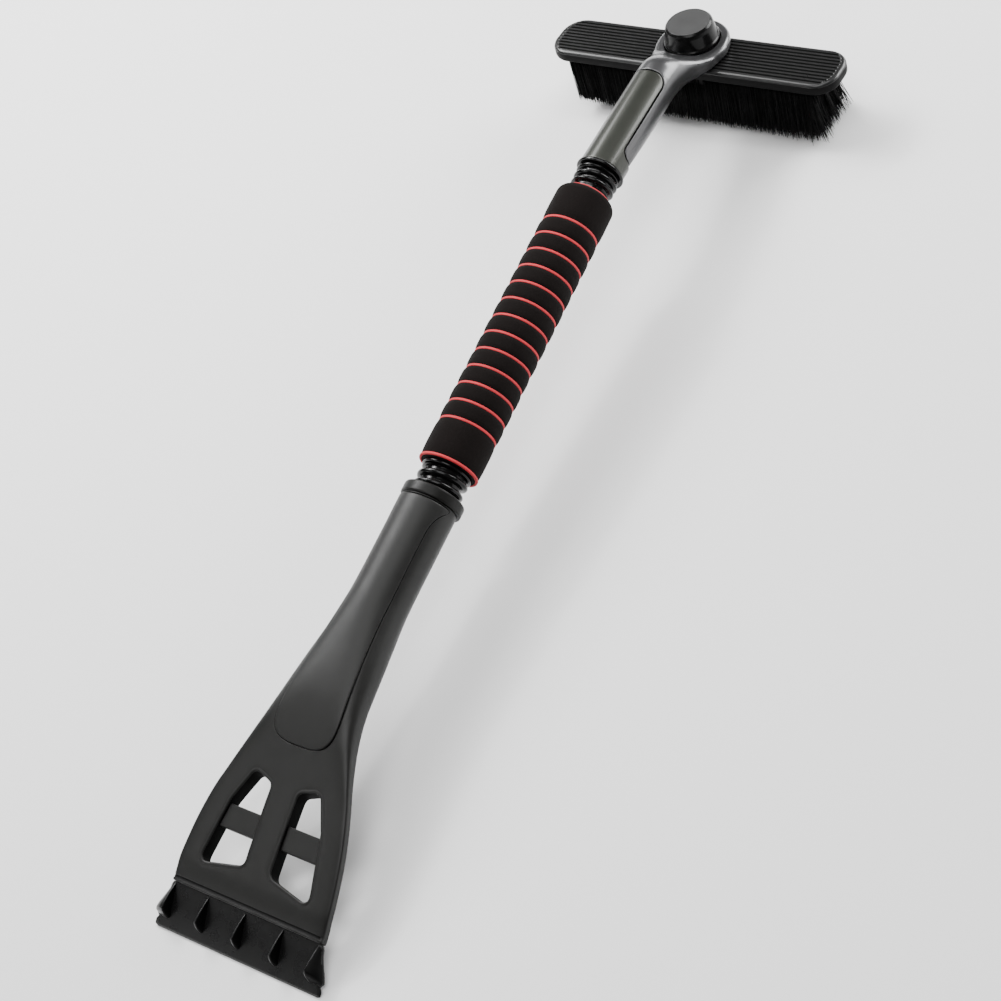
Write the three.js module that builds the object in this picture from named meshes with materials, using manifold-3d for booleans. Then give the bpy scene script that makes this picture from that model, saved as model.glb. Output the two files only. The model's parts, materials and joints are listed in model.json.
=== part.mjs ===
// Windshield ice scraper with a swivelling snow brush, as an assembly of separate pieces.
//
// Everything is modelled in the pole's own frame, in millimetres: +X runs along the pole axis from
// the scraper to the brush, +Y is to the side, +Z is up (button side up, bristles down), and the
// origin is the middle of the foam grip. The finished tool is then tipped a few degrees so that it
// lies at rest on its scraping edge and its bristle tips, with the origin under the middle of it.

import * as THREE from "three";
import { ConvexGeometry } from "three/addons/geometries/ConvexGeometry.js";
import { mergeVertices } from "three/addons/utils/BufferGeometryUtils.js";
import Module from "manifold-3d";

const wasm = await Module();
wasm.setup();

// ---------------------------------------------------------------- driving dimensions

const GAP = 0.3; // between pieces that touch
const ROUND = 20; // sides of a round piece
const THREAD_ROUND = 16; // steps in one turn of a thread

// pole and foam grip
const GRIP_LENGTH = 198;
const GRIP_R = 18.8; // crown of a foam segment
const STRIPE_R = 18.4; // red stripe, a little below the crowns
const STRIPE_BED_R = 17.2; // bottom of a stripe's groove
const STRIPE_COUNT = 13;
const STRIPE_PITCH = 11.93;
const STRIPE_WIDTH = 2.4;
const FOAM_ROUND = 14; // sides of the foam and its stripes
const END_RING = 3; // width and depth of the red ring round each end of the foam
const TUBE_R = 12.5;
const TUBE_BORE_R = 11.5;
const FOAM_BORE_R = 12.8;
const PLUG_DEPTH = 34; // how far a plug goes into the tube

// lower thread, onto which the scraper screws
const LOWER_PITCH = 6.5;
const LOWER_CREST_R = 14.25;
const LOWER_ROOT_R = 12.9;
const LOWER_END = -138;
const COLLAR_TOP = -114.6;
const COLLAR_WIDTH = 7.2;
const COLLAR_R = 18.9;
const HANDLE_R = 17.4;

// upper thread, onto which the brush arm screws
const UPPER_PITCH = 4.8;
const UPPER_CREST_R = 13.7;
const UPPER_ROOT_R = 12.5;
const SPIGOT_CREST_R = 9.5;
const SPIGOT_ROOT_R = 8.5;
const ARM_START = 118.5; // mouth of the arm's socket
const THREAD_CLEARANCE = 0.4;

// scraper
const STEP_X = -369; // front edge of the scraper body, where the blade comes out
const EDGE_X = -394.1; // scraping edge
const EDGE_Z = -32.1;
const EDGE_HALF = 58.5;
const TONGUE_END = -279.5;

// brush arm
const ARM_R = 14.2;
const ARM_SLOPE = THREE.MathUtils.degToRad(7.2); // downwards, towards the brush
const SLEEVE_LENGTH = 10; // full round part of the sleeve
const INLAY_END = 74; // tip of the sleeve's tongue, along the arm
const INLAY_ANGLE = THREE.MathUtils.degToRad(57);

// swivel head: its frame has its origin on top of the ring, +Z along the swivel axis
const HEAD = new THREE.Vector3(242.2, 0, -24.6);
const HEAD_TILT = THREE.MathUtils.degToRad(13.4);
const RING_R = 24;
const RING_THICK = 7.8;
const BUTTON_BASE_R = 17.4;
const BUTTON_TOP_R = 14.1;
const BUTTON_HEIGHT = 14;
const LOCK_TEETH = 12;

// brush
const PLATE_TOP = -8.6;
const PLATE_LENGTH = 206;
const PLATE_WIDTH = 37.4;
const PLATE_THICK = 7.6;
const RIB_COUNT = 10; // grooves between the ribs
const BLOCK_LENGTH = 180;
const BLOCK_WIDTH = 33;
const BRISTLE_TIP = -50;
const BRISTLE_ROWS = 5;

// ---------------------------------------------------------------- colours

const finish = {
  blackPlastic: { color: 0x242424, roughness: 0.5, metalness: 0 },
  glossBlack: { color: 0x0a0a0a, roughness: 0.15, metalness: 0 },
  bladePlastic: { color: 0x1b1b1b, roughness: 0.4, metalness: 0 },
  foam: { color: 0x141110, roughness: 0.95, metalness: 0 },
  stripe: { color: 0xc8403f, roughness: 0.8, metalness: 0 },
  armGrey: { color: 0x6e6e70, roughness: 0.35, metalness: 0.5 },
  inlay: { color: 0x474a42, roughness: 0.4, metalness: 0.4 },
  button: { color: 0x5a5a5a, roughness: 0.35, metalness: 0 },
  bristle: { color: 0x0c0c0c, roughness: 0.7, metalness: 0 },
  aluminium: { color: 0xb8babd, roughness: 0.3, metalness: 1 },
  steel: { color: 0x9a9a9c, roughness: 0.3, metalness: 1 },
};

// ---------------------------------------------------------------- solids

/** A closed three.js geometry as a solid that can be cut and joined. */
function solid(geometry) {
  const bare = geometry.index ? geometry.toNonIndexed() : geometry.clone();
  for (const name of Object.keys(bare.attributes)) {
    if (name !== "position") bare.deleteAttribute(name);
  }
  const merged = mergeVertices(bare, 1e-4);
  const index = Array.from(merged.index.array);
  const kept = [];
  for (let i = 0; i < index.length; i += 3) {
    const [a, b, c] = index.slice(i, i + 3);
    if (a !== b && b !== c && a !== c) kept.push(a, b, c);
  }
  return new wasm.Manifold(new wasm.Mesh({
    numProp: 3,
    vertProperties: new Float32Array(merged.attributes.position.array),
    triVerts: new Uint32Array(kept),
  }));
}

/** A solid as a named mesh with a finish, put into a group. */
function piece(group, name, shape, look) {
  const { vertProperties, triVerts } = shape.getMesh();
  const geometry = new THREE.BufferGeometry();
  geometry.setAttribute("position", new THREE.BufferAttribute(vertProperties, 3));
  geometry.setIndex(new THREE.BufferAttribute(triVerts, 1));
  geometry.computeVertexNormals();
  const mesh = new THREE.Mesh(geometry, new THREE.MeshStandardMaterial(finish[look]));
  mesh.name = name;
  group.add(mesh);
  return mesh;
}

/** A round solid about X from a profile of [x, radius] points that starts and ends on the axis. */
function turned(profile, sides = ROUND) {
  const points = profile.map(([x, r]) => new THREE.Vector2(r, x));
  return solid(new THREE.LatheGeometry(points, sides).rotateZ(-Math.PI / 2));
}

/** A plain rod about X. */
function rod(x0, x1, r, sides = ROUND) {
  return turned([[x0, 0], [x0, r], [x1, r], [x1, 0]], sides);
}

/** A round solid about Z from a profile of [radius, z] points, lowest z first. */
function turnedZ(profile, sides = ROUND) {
  const points = profile.map(([r, z]) => new THREE.Vector2(r, z));
  return solid(new THREE.LatheGeometry(points, sides).rotateX(Math.PI / 2));
}

/** A plain post about Z. */
function post(x, y, z0, z1, r, sides = ROUND) {
  return turnedZ([[0, z0], [r, z0], [r, z1], [0, z1]], sides).translate([x, y, 0]);
}

/** A box from its two corners. */
function box(low, high) {
  const size = high.map((v, i) => v - low[i]);
  const middle = high.map((v, i) => (v + low[i]) / 2);
  return solid(new THREE.BoxGeometry(...size).translate(...middle));
}

/** A flat outline in XY, extruded from z0 to z1. */
function prism(shape, z0, z1, curveSegments = 6) {
  const options = { depth: z1 - z0, bevelEnabled: false, curveSegments };
  return solid(new THREE.ExtrudeGeometry(shape, options).translate(0, 0, z0));
}

/** An outline in the XZ plane, extruded across Y to both sides. */
function slab(points, halfWidth) {
  const shape = new THREE.Shape(points.map(([x, z]) => new THREE.Vector2(x, z)));
  const options = { depth: 2 * halfWidth, bevelEnabled: false };
  const geometry = new THREE.ExtrudeGeometry(shape, options).translate(0, 0, -halfWidth);
  return solid(geometry.rotateX(Math.PI / 2));
}

/** The hull of a few points. */
function hull(points) {
  return solid(new ConvexGeometry(points.map((p) => new THREE.Vector3(...p))));
}

/** A closed skin through rings of points, with flat ends. */
function loft(rings) {
  const count = rings[0].length;
  const corners = [];
  const triangle = (a, b, c) => corners.push(...a, ...b, ...c);
  for (let i = 0; i + 1 < rings.length; i++) {
    for (let j = 0; j < count; j++) {
      const k = (j + 1) % count;
      triangle(rings[i][j], rings[i + 1][k], rings[i + 1][j]);
      triangle(rings[i][j], rings[i][k], rings[i + 1][k]);
    }
  }
  const last = rings[rings.length - 1];
  for (let j = 1; j + 1 < count; j++) {
    triangle(rings[0][0], rings[0][j + 1], rings[0][j]);
    triangle(last[0], last[j], last[j + 1]);
  }
  const geometry = new THREE.BufferGeometry();
  geometry.setAttribute("position", new THREE.Float32BufferAttribute(corners, 3));
  return solid(geometry);
}

/** A threaded rod about X: a right-hand ridge of the given pitch on a round core, flat at both ends. */
function threaded(x0, x1, rootR, crestR, pitch, flank = 0) {
  // one turn of the ridge as [share of the pitch, radius]; flank widens the crest for a clearance
  const half = 0.16 + flank / pitch;
  const turn = [[0.5 - half - 0.16, rootR], [0.5 - half, crestR], [0.5 + half, crestR],
    [0.5 + half + 0.16, rootR]];
  const first = Math.floor(x0 / pitch) - 2;
  const last = Math.ceil(x1 / pitch) + 1;
  const rows = [];
  for (let n = first; n <= last; n++) {
    for (const [share, r] of turn) rows.push([(n + share) * pitch, r]);
  }
  const corner = (i, j) => {
    const [x, r] = rows[i];
    const angle = (2 * Math.PI * j) / THREAD_ROUND;
    return [x + (pitch * j) / THREAD_ROUND, r * Math.cos(angle), r * Math.sin(angle)];
  };
  const start = [rows[0][0], 0, 0];
  const end = [rows[rows.length - 1][0], 0, 0];
  const corners = [];
  const triangle = (a, b, c) => corners.push(...a, ...b, ...c);
  const bottom = rows.length - 1 - turn.length;
  for (let i = 0; i < bottom; i++) {
    for (let j = 0; j < THREAD_ROUND; j++) {
      triangle(corner(i, j), corner(i, j + 1), corner(i + 1, j + 1));
      triangle(corner(i, j), corner(i + 1, j + 1), corner(i + 1, j));
    }
  }
  for (let j = 0; j < THREAD_ROUND; j++) {
    triangle(start, corner(0, j + 1), corner(0, j));
    triangle(end, corner(bottom, j), corner(bottom, j + 1));
  }
  for (let i = 0; i < turn.length; i++) {
    triangle(start, corner(i, 0), corner(i + 1, 0));
    triangle(end, corner(bottom + i + 1, 0), corner(bottom + i, 0));
  }
  const geometry = new THREE.BufferGeometry();
  geometry.setAttribute("position", new THREE.Float32BufferAttribute(corners, 3));
  return solid(geometry).intersect(rod(x0, x1, crestR + 1));
}

/** A value between the points of a table of [x, value], in rising x, eased between them. */
function between(table, x) {
  if (x <= table[0][0]) return table[0][1];
  for (let i = 1; i < table.length; i++) {
    const [x1, v1] = table[i];
    const [x0, v0] = table[i - 1];
    if (x <= x1) return v0 + ((v1 - v0) * (x - x0)) / (x1 - x0);
  }
  return table[table.length - 1][1];
}

/** A rectangle with round corners, centred on the origin. */
function roundRect(length, width, radius) {
  const [a, b] = [length / 2, width / 2];
  const shape = new THREE.Shape();
  shape.moveTo(-a + radius, -b);
  shape.lineTo(a - radius, -b);
  shape.absarc(a - radius, -b + radius, radius, -Math.PI / 2, 0);
  shape.absarc(a - radius, b - radius, radius, 0, Math.PI / 2);
  shape.absarc(-a + radius, b - radius, radius, Math.PI / 2, Math.PI);
  shape.absarc(-a + radius, -b + radius, radius, Math.PI, 1.5 * Math.PI);
  return shape;
}

/** A polygon whose corners are rounded off with the given radius. */
function softPolygon(points, radius) {
  const shape = new THREE.Shape();
  points.forEach((p, i) => {
    const corner = new THREE.Vector2(...p);
    const before = new THREE.Vector2(...points[(i + points.length - 1) % points.length]);
    const after = new THREE.Vector2(...points[(i + 1) % points.length]);
    const from = corner.clone().add(before.sub(corner).setLength(radius));
    const to = corner.clone().add(after.sub(corner).setLength(radius));
    if (i === 0) shape.moveTo(from.x, from.y);
    else shape.lineTo(from.x, from.y);
    shape.quadraticCurveTo(corner.x, corner.y, to.x, to.y);
  });
  shape.closePath();
  return shape;
}

/** A screw along Z with its head at the bottom: head, and a shank that points up. */
function screwUp(x, y, headZ, headR, shankTop, shankR) {
  const head = 1.6;
  return turnedZ([[0, headZ], [headR, headZ], [headR, headZ + head], [shankR, headZ + head],
    [shankR, shankTop], [0, shankTop]], 12).translate([x, y, 0]);
}

/** The hole that such a screw needs, open at the bottom. */
function screwHole(x, y, headZ, headR, shankTop, shankR) {
  const seat = headZ + 1.6 + GAP;
  return turnedZ([[0, headZ - 30], [headR + GAP, headZ - 30], [headR + GAP, seat],
    [shankR + GAP, seat], [shankR + GAP, shankTop + GAP], [0, shankTop + GAP]], 12)
    .translate([x, y, 0]);
}

const tool = new THREE.Group();

// ---------------------------------------------------------------- pole and grip

const gripEnd = GRIP_LENGTH / 2;

/** Aluminium tube, full length under the foam, with a cross hole for each plug's pin. */
const PIN_X = gripEnd - 18;
const PIN_R = 1.6;
const crossHole = (x) => post(x, 0, -TUBE_R - 1, TUBE_R + 1, PIN_R + 0.2, 10);
const tube = rod(1 - gripEnd, gripEnd - 1, TUBE_R)
  .subtract(rod(-gripEnd, gripEnd, TUBE_BORE_R))
  .subtract(crossHole(-PIN_X))
  .subtract(crossHole(PIN_X));
piece(tool, "pole_tube", tube, "aluminium");
for (const [name, x] of [["lower_plug_pin", -PIN_X], ["upper_plug_pin", PIN_X]]) {
  piece(tool, name, post(x, 0, -TUBE_R, TUBE_R, PIN_R, 10), "steel");
}

/** Lower plug: shank in the tube, flange against the foam, then the coarse thread. */
const plugShankR = TUBE_BORE_R - GAP;
const flangeStart = -gripEnd - GAP;
const lowerPlug = rod(1 - gripEnd - 3, -gripEnd + PLUG_DEPTH, plugShankR)
  .add(rod(flangeStart - 2.6, flangeStart, 14.75))
  .add(rod(flangeStart - 4, flangeStart, LOWER_ROOT_R))
  .add(threaded(LOWER_END, flangeStart - 2.6, LOWER_ROOT_R, LOWER_CREST_R, LOWER_PITCH))
  .subtract(crossHole(-PIN_X))
  .subtract(rod(LOWER_END - 1, -gripEnd + PLUG_DEPTH + 1, 8, 16));
piece(tool, "lower_thread_plug", lowerPlug, "glossBlack");

/** Upper plug: shank, the visible coarse turns, then a thinner threaded spigot for the arm. */
const sealWidth = 2.2;
const upperTurnsEnd = ARM_START - sealWidth - 2 * GAP;
const spigotEnd = ARM_START + SLEEVE_LENGTH + 4;
const upperPlug = rod(gripEnd - PLUG_DEPTH, gripEnd + 3, plugShankR)
  .add(threaded(gripEnd + GAP, upperTurnsEnd, UPPER_ROOT_R, UPPER_CREST_R, UPPER_PITCH))
  .add(rod(gripEnd, ARM_START + 1, SPIGOT_ROOT_R))
  .add(threaded(ARM_START, spigotEnd, SPIGOT_ROOT_R, SPIGOT_CREST_R, UPPER_PITCH))
  .subtract(crossHole(PIN_X))
  .subtract(rod(gripEnd - PLUG_DEPTH - 1, spigotEnd + 1, 5.5, 16));
piece(tool, "upper_thread_plug", upperPlug, "glossBlack");

/** Black foam sleeve, turned in segments, with a shallow groove for each stripe. */
const stripeX = (i) => (i - (STRIPE_COUNT - 1) / 2) * STRIPE_PITCH;
const shoulder = 5; // rounding of the upper end
const foamProfile = [[-gripEnd, 0], [-gripEnd, GRIP_R - END_RING], [-gripEnd + END_RING, GRIP_R - END_RING],
  [-gripEnd + END_RING, GRIP_R]];
for (let i = 0; i < STRIPE_COUNT; i++) {
  const [a, b] = [stripeX(i) - STRIPE_WIDTH / 2, stripeX(i) + STRIPE_WIDTH / 2];
  foamProfile.push([a, GRIP_R], [a, STRIPE_BED_R], [b, STRIPE_BED_R], [b, GRIP_R]);
}
foamProfile.push([gripEnd - shoulder, GRIP_R], [gripEnd - shoulder * 0.3, GRIP_R - shoulder * 0.3]);
foamProfile.push([gripEnd - 1, GRIP_R - shoulder * 0.6], [gripEnd - 1, GRIP_R - shoulder * 0.75]);
foamProfile.push([gripEnd - 1, 0]);
const foam = turned(foamProfile, FOAM_ROUND).subtract(rod(-gripEnd - 1, gripEnd + 1, FOAM_BORE_R));
piece(tool, "foam_grip", foam, "foam");

/** A red foam ring about X. */
function redRing(x0, x1, inner, outer) {
  return turned([[x0, inner], [x0, outer], [x1, outer], [x1, inner], [x0, inner]], FOAM_ROUND);
}
for (let i = 0; i < STRIPE_COUNT; i++) {
  const half = STRIPE_WIDTH / 2 - 0.1;
  const ring = redRing(stripeX(i) - half, stripeX(i) + half, STRIPE_BED_R + GAP, STRIPE_R);
  piece(tool, `grip_stripe_${String(i + 1).padStart(2, "0")}`, ring, "stripe");
}
const lowerRing = redRing(-gripEnd, -gripEnd + END_RING - GAP, GRIP_R - END_RING + GAP, GRIP_R);
piece(tool, "grip_end_ring_lower", lowerRing, "stripe");
const upperRing = redRing(gripEnd - 1 + GAP, gripEnd, FOAM_BORE_R + 0.4, GRIP_R - shoulder * 0.7);
piece(tool, "grip_end_ring_upper", upperRing, "stripe");

// ---------------------------------------------------------------- scraper

/** Half width, middle height, half height and squareness of the scraper body along X. */
const bodyWidth = [[-369, 52.6], [-355, 52.3], [-344, 51.3], [-334, 50], [-323, 47.9], [-313, 45.4],
  [-302, 41.9], [-292, 38.4], [-281, 34.6], [-271, 31.3], [-260, 28.6], [-250, 26.6], [-239, 25],
  [-228, 23.5], [-218, 21.9], [-208, 20.3], [-197, 18.8], [-187, 17.9], [-176, 17.5]];
const bodyMiddle = [[-369, -21.6], [-355, -16.9], [-344, -13.9], [-334, -11.2], [-323, -8.4],
  [-313, -5.9], [-302, -3.5], [-292, -1.1], [-281, 1], [-271, 2.5], [-260, 3.5], [-250, 3.8],
  [-239, 3.4], [-228, 2.7], [-208, 1.4], [-187, 0.7]];
const bodyHeight = [[-369, 4], [-300, 4.1], [-290, 4.8], [-281, 6.3], [-271, 8.3], [-260, 10.2],
  [-250, 11.7], [-239, 13.2], [-228, 14.5], [-208, 16.4], [-187, 17.4]];
const bodySquare = [[-369, 5], [-300, 5], [-281, 3.2], [-260, 2.4], [-228, 2], [-187, 2]];
const bodyStations = [-369, -357, -345, -334, -323, -313, -302, -292, -281, -271, -260, -250, -239,
  -228, -212, -197, -187, -122.3];
const BODY_SIDES = 24;

/** The scraper body's outside, grown or shrunk by an offset. */
function bodyLoft(offset, from, to) {
  const stations = [from, ...bodyStations.filter((x) => x > from && x < to), to];
  return loft(stations.map((x) => {
    const width = between(bodyWidth, x) + offset;
    const height = between(bodyHeight, x) + offset;
    const power = 2 / between(bodySquare, x);
    const ring = [];
    for (let j = 0; j < BODY_SIDES; j++) {
      const angle = (2 * Math.PI * j) / BODY_SIDES;
      const [c, s] = [Math.cos(angle), Math.sin(angle)];
      const y = width * Math.sign(c) * Math.abs(c) ** power;
      ring.push([x, y, between(bodyMiddle, x) + height * Math.sign(s) * Math.abs(s) ** power]);
    }
    return ring;
  }));
}

/** Outline of the raised tongue, seen from above, as a smooth closed curve. */
function tongueShape(margin) {
  const side = [[-123.2, 16.7], [-127, 15.6], [-134, 14], [-146, 13.4], [-170, 13.5], [-196, 14.3],
    [-220, 16.4], [-244, 19.1], [-262, 20.8]];
  const shape = new THREE.Shape();
  shape.moveTo(side[0][0] + margin, -side[0][1] - margin);
  const right = side.slice(1).map(([x, y]) => new THREE.Vector2(x, -y - margin));
  shape.splineThru(right);
  const endX = TONGUE_END - margin;
  shape.bezierCurveTo(-274 - margin, -21.8 - margin, endX, -18, endX, 0);
  shape.bezierCurveTo(endX, 18, -274 - margin, 21.8 + margin, -262, 20.8 + margin);
  const left = side.slice(0, -1).reverse().map(([x, y]) => new THREE.Vector2(x, y + margin));
  left[left.length - 1].x += margin;
  shape.splineThru(left);
  return shape;
}

const seatDepth = 2.3;
const lip = 0.7; // how far the tongue stands proud of the body
const tongueCut = prism(tongueShape(GAP), 1.5, 40, 3).subtract(bodyLoft(-seatDepth, -290, -122.3));
const tongue = bodyLoft(lip, -290, -122.6)
  .intersect(prism(tongueShape(0), 1.5 + GAP, 40, 3))
  .subtract(bodyLoft(GAP - seatDepth, -295, -100));
piece(tool, "scraper_tongue", tongue, "blackPlastic");

/** Corners of a window's outline on the +Y side, and the crossbar that divides it. */
const windowCorners = [[-302.6, 9.6], [-298.6, 22.5], [-318, 31.2], [-354.6, 38.4], [-348.2, 9.2]];
const BAR = { from: -333.2, to: -319.8, recess: 2, thick: 3.4 };
const mirrored = (points, side) => points.map(([x, y]) => [x, y * side]);
const barSlab = (top) => bodyLoft(-top, -369, -290).intersect(box([BAR.from, -60, -40], [BAR.to, 60, 20]));
const bar = barSlab(BAR.recess).translate([0, 0, -0.2]);
let windows = prism(softPolygon(mirrored(windowCorners, 1), 4.5), -40, 20, 4)
  .add(prism(softPolygon(mirrored(windowCorners, -1), 4.5), -40, 20, 4));
windows = windows.subtract(bar);

/** The slot for the blade's tang, and the blade's outline from the side. */
const tangStart = -352;
const slope = (x, z0, x0, rise) => z0 + (x - x0) * rise;
const TANG_RISE = 0.33;
const tangZ = (x) => slope(x, -22.1, STEP_X, TANG_RISE);
const tangHalf = 46;
const slot = slab([[STEP_X - 1, tangZ(STEP_X - 1) - 1.7], [tangStart + GAP, tangZ(tangStart) - 1.6],
  [tangStart + GAP, tangZ(tangStart) + 1.7], [STEP_X - 1, tangZ(STEP_X - 1) + 1.7]], tangHalf + GAP);

/** Internal thread and core of the handle: clear of the plug's thread all round. */
const socketThread = threaded(LOWER_END - 2, COLLAR_TOP + 1, LOWER_ROOT_R + THREAD_CLEARANCE,
  LOWER_CREST_R + THREAD_CLEARANCE, LOWER_PITCH, THREAD_CLEARANCE);
const core = rod(-232, LOWER_END - 1, 9.5, 16);
const tongueScrew = [-256, 0, -8.2, 3.2, 6.5, 1.4];
const bladeScrewX = -360;
const bladeScrews = [-34, 0, 34].map((y) => [bladeScrewX, y, -23.4, 2.6, tangZ(bladeScrewX) + 1.2, 1.3]);
let body = bodyLoft(0, STEP_X, COLLAR_TOP - COLLAR_WIDTH - GAP)
  .add(rod(COLLAR_TOP - COLLAR_WIDTH - 1, COLLAR_TOP, HANDLE_R - 1))
  .subtract(tongueCut)
  .subtract(windows)
  .subtract(slot)
  .subtract(socketThread)
  .subtract(core)
  .subtract(screwHole(...tongueScrew));
for (const screw of bladeScrews) body = body.subtract(screwHole(...screw));
piece(tool, "scraper_body", body, "blackPlastic");
piece(tool, "tongue_screw", screwUp(...tongueScrew), "steel");
bladeScrews.forEach((screw, i) => piece(tool, `blade_screw_${i + 1}`, screwUp(...screw), "steel"));

/** Collar round the socket's mouth: the ring under the exposed thread. */
const collarEnd = COLLAR_TOP - COLLAR_WIDTH;
const collar = turned([[collarEnd, 0], [collarEnd, COLLAR_R - 1], [collarEnd + 1.4, COLLAR_R],
  [COLLAR_TOP - 1.8, COLLAR_R], [COLLAR_TOP - 0.5, COLLAR_R - 0.7], [COLLAR_TOP, COLLAR_R - 2],
  [COLLAR_TOP, 0]])
  .subtract(rod(collarEnd - 1, COLLAR_TOP + 1, HANDLE_R - 1 + GAP));
piece(tool, "socket_collar", collar, "blackPlastic");

/** Blade: tang in the slot, a sloping face that thins to the edge, ice-breaking teeth on top. */
const bladeRoot = STEP_X - GAP;
const bladeTop = (x) => slope(x, -20.6, STEP_X, (EDGE_Z + 20.6) / (EDGE_X - STEP_X));
const bladeProfile = [[tangStart, tangZ(tangStart) - 1.3], [tangStart, tangZ(tangStart) + 1.3],
  [bladeRoot, tangZ(bladeRoot) + 1.3], [EDGE_X, EDGE_Z], [EDGE_X, EDGE_Z - 1.2],
  [EDGE_X + 4, EDGE_Z - 1], [bladeRoot, tangZ(bladeRoot) - 1.6]];
const bladeOutline = new THREE.Shape([[tangStart, -tangHalf], [bladeRoot + 0.2, -tangHalf],
  [bladeRoot + 0.2, -52], [-385, -56.4], [-387.4, -56], [EDGE_X + 3, -EDGE_HALF + 0.4],
  [EDGE_X, -EDGE_HALF + 2], [EDGE_X, EDGE_HALF - 2], [EDGE_X + 3, EDGE_HALF - 0.4], [-387.4, 56],
  [-385, 56.4], [bladeRoot + 0.2, 52], [bladeRoot + 0.2, tangHalf], [tangStart, tangHalf]]
  .map(([x, y]) => new THREE.Vector2(x, y)));
let blade = slab(bladeProfile, 62).intersect(prism(bladeOutline, -50, 0));
const TOOTH = { startX: STEP_X - 0.9, crestX: -385, crestZ: -19.6, tipX: -387.2, base: 2.5, crest: 0.5 };
const toothYs = [-50.7, -26.3, 0, 26.3, 50.7];
for (const y of toothYs) {
  const side = Math.abs(y) > 40 ? Math.sign(y) : 0;
  const left = side > 0 ? 56.2 - y : TOOTH.base;
  const right = side < 0 ? 56.2 + y : TOOTH.base;
  const startLeft = side > 0 ? 51.9 - y : 0.7;
  const startRight = side < 0 ? 51.9 + y : 0.7;
  const low = (x) => bladeTop(x) - 1;
  blade = blade.add(hull([
    [TOOTH.startX, y + startLeft, low(TOOTH.startX)], [TOOTH.startX, y - startRight, low(TOOTH.startX)],
    [TOOTH.startX, y, bladeTop(TOOTH.startX) + 0.4],
    [TOOTH.crestX, y + TOOTH.crest, TOOTH.crestZ], [TOOTH.crestX, y - TOOTH.crest, TOOTH.crestZ],
    [TOOTH.crestX + 1, y + left, low(TOOTH.crestX)], [TOOTH.crestX + 1, y - right, low(TOOTH.crestX)],
    [TOOTH.tipX, y + left * 0.7, low(TOOTH.tipX)], [TOOTH.tipX, y - right * 0.7, low(TOOTH.tipX)],
  ]));
}
for (const [x, y, , , , r] of bladeScrews) {
  blade = blade.subtract(post(x, y, -40, tangZ(x) + 1.2 + GAP, r + GAP, 12));
}
piece(tool, "scraper_blade", blade, "bladePlastic");

// ---------------------------------------------------------------- brush arm

const head = new THREE.Group();
head.position.copy(HEAD);
head.rotation.y = HEAD_TILT;
tool.add(head);

/** Seal ring that the arm's mouth presses on. */
const sealRing = rod(ARM_START - sealWidth - GAP, ARM_START - GAP, 15.4)
  .subtract(rod(ARM_START - 5, ARM_START + 1, SPIGOT_ROOT_R + 1.4));
piece(tool, "arm_seal_ring", sealRing, "glossBlack");

const toDegrees = THREE.MathUtils.radToDeg;
/** Puts a solid made along the arm's own axis (X from the socket's mouth) into the pole's frame. */
const inArm = (shape) => shape.rotate([0, toDegrees(ARM_SLOPE), 0]).translate([ARM_START, 0, 0]);
/** Puts a solid made in the pole's frame into the head's frame, and back. */
const toHead = (shape) => shape.translate([-HEAD.x, 0, -HEAD.z]).rotate([0, -toDegrees(HEAD_TILT), 0]);
const fromHead = (shape) => shape.rotate([0, toDegrees(HEAD_TILT), 0]).translate([HEAD.x, 0, HEAD.z]);

/** Sector of the arm on its upper side, between plus and minus an angle from the top. */
function topSector(x0, x1, angle) {
  const reach = 30;
  const shape = [[0, 0, 0]];
  for (const a of [-angle, -angle / 2, 0, angle / 2, angle]) {
    shape.push([0, reach * Math.sin(a), reach * Math.cos(a)]);
  }
  return hull([...shape.map(([, y, z]) => [x0, y, z]), ...shape.map(([, y, z]) => [x1, y, z])]);
}

/** Sleeve: the full round mouth with the internal thread, and the tongue let into the arm's top. */
const inlayThick = 2.2;
const tongueEnd = prism(roundRect(2 * INLAY_END, 2 * 12.2, 9), 0, 30, 5);
const mouth = rod(0, SLEEVE_LENGTH, ARM_R);
const inlayBand = rod(SLEEVE_LENGTH - 1, INLAY_END, ARM_R + 0.15)
  .subtract(rod(SLEEVE_LENGTH - 2, INLAY_END + 1, ARM_R - inlayThick))
  .intersect(topSector(SLEEVE_LENGTH - 2, INLAY_END + 1, INLAY_ANGLE))
  .intersect(tongueEnd);
const inlaySeat = rod(SLEEVE_LENGTH - 1, INLAY_END + 1, ARM_R + 5)
  .subtract(rod(SLEEVE_LENGTH - 2, INLAY_END + 2, ARM_R - inlayThick - GAP))
  .intersect(topSector(SLEEVE_LENGTH - 2, INLAY_END + 2, INLAY_ANGLE + 0.03))
  .intersect(prism(roundRect(2 * INLAY_END + 2 * GAP, 2 * 12.2 + 2 * GAP, 9), 0, 30, 5));
const spigotThread = threaded(ARM_START - 3, spigotEnd + 4, SPIGOT_ROOT_R + THREAD_CLEARANCE,
  SPIGOT_CREST_R + THREAD_CLEARANCE, UPPER_PITCH, THREAD_CLEARANCE);
const spigotRoom = rod(ARM_START - 3, spigotEnd + 2, SPIGOT_CREST_R + 0.5);
const sleeveScrewTop = ARM_R - inlayThick - 1.2;
const sleeveScrews = [[30, 0, -5.7, 2.8, sleeveScrewTop, 1.3], [60, 0, -9, 2.8, sleeveScrewTop, 1.3]];
const mouthCut = box([ARM_START - 10, -20, -20], [ARM_START, 20, 20]);
const sleeve = inArm(mouth.add(inlayBand))
  .subtract(spigotThread)
  .subtract(mouthCut);
piece(tool, "arm_sleeve", sleeve, "inlay");

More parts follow.
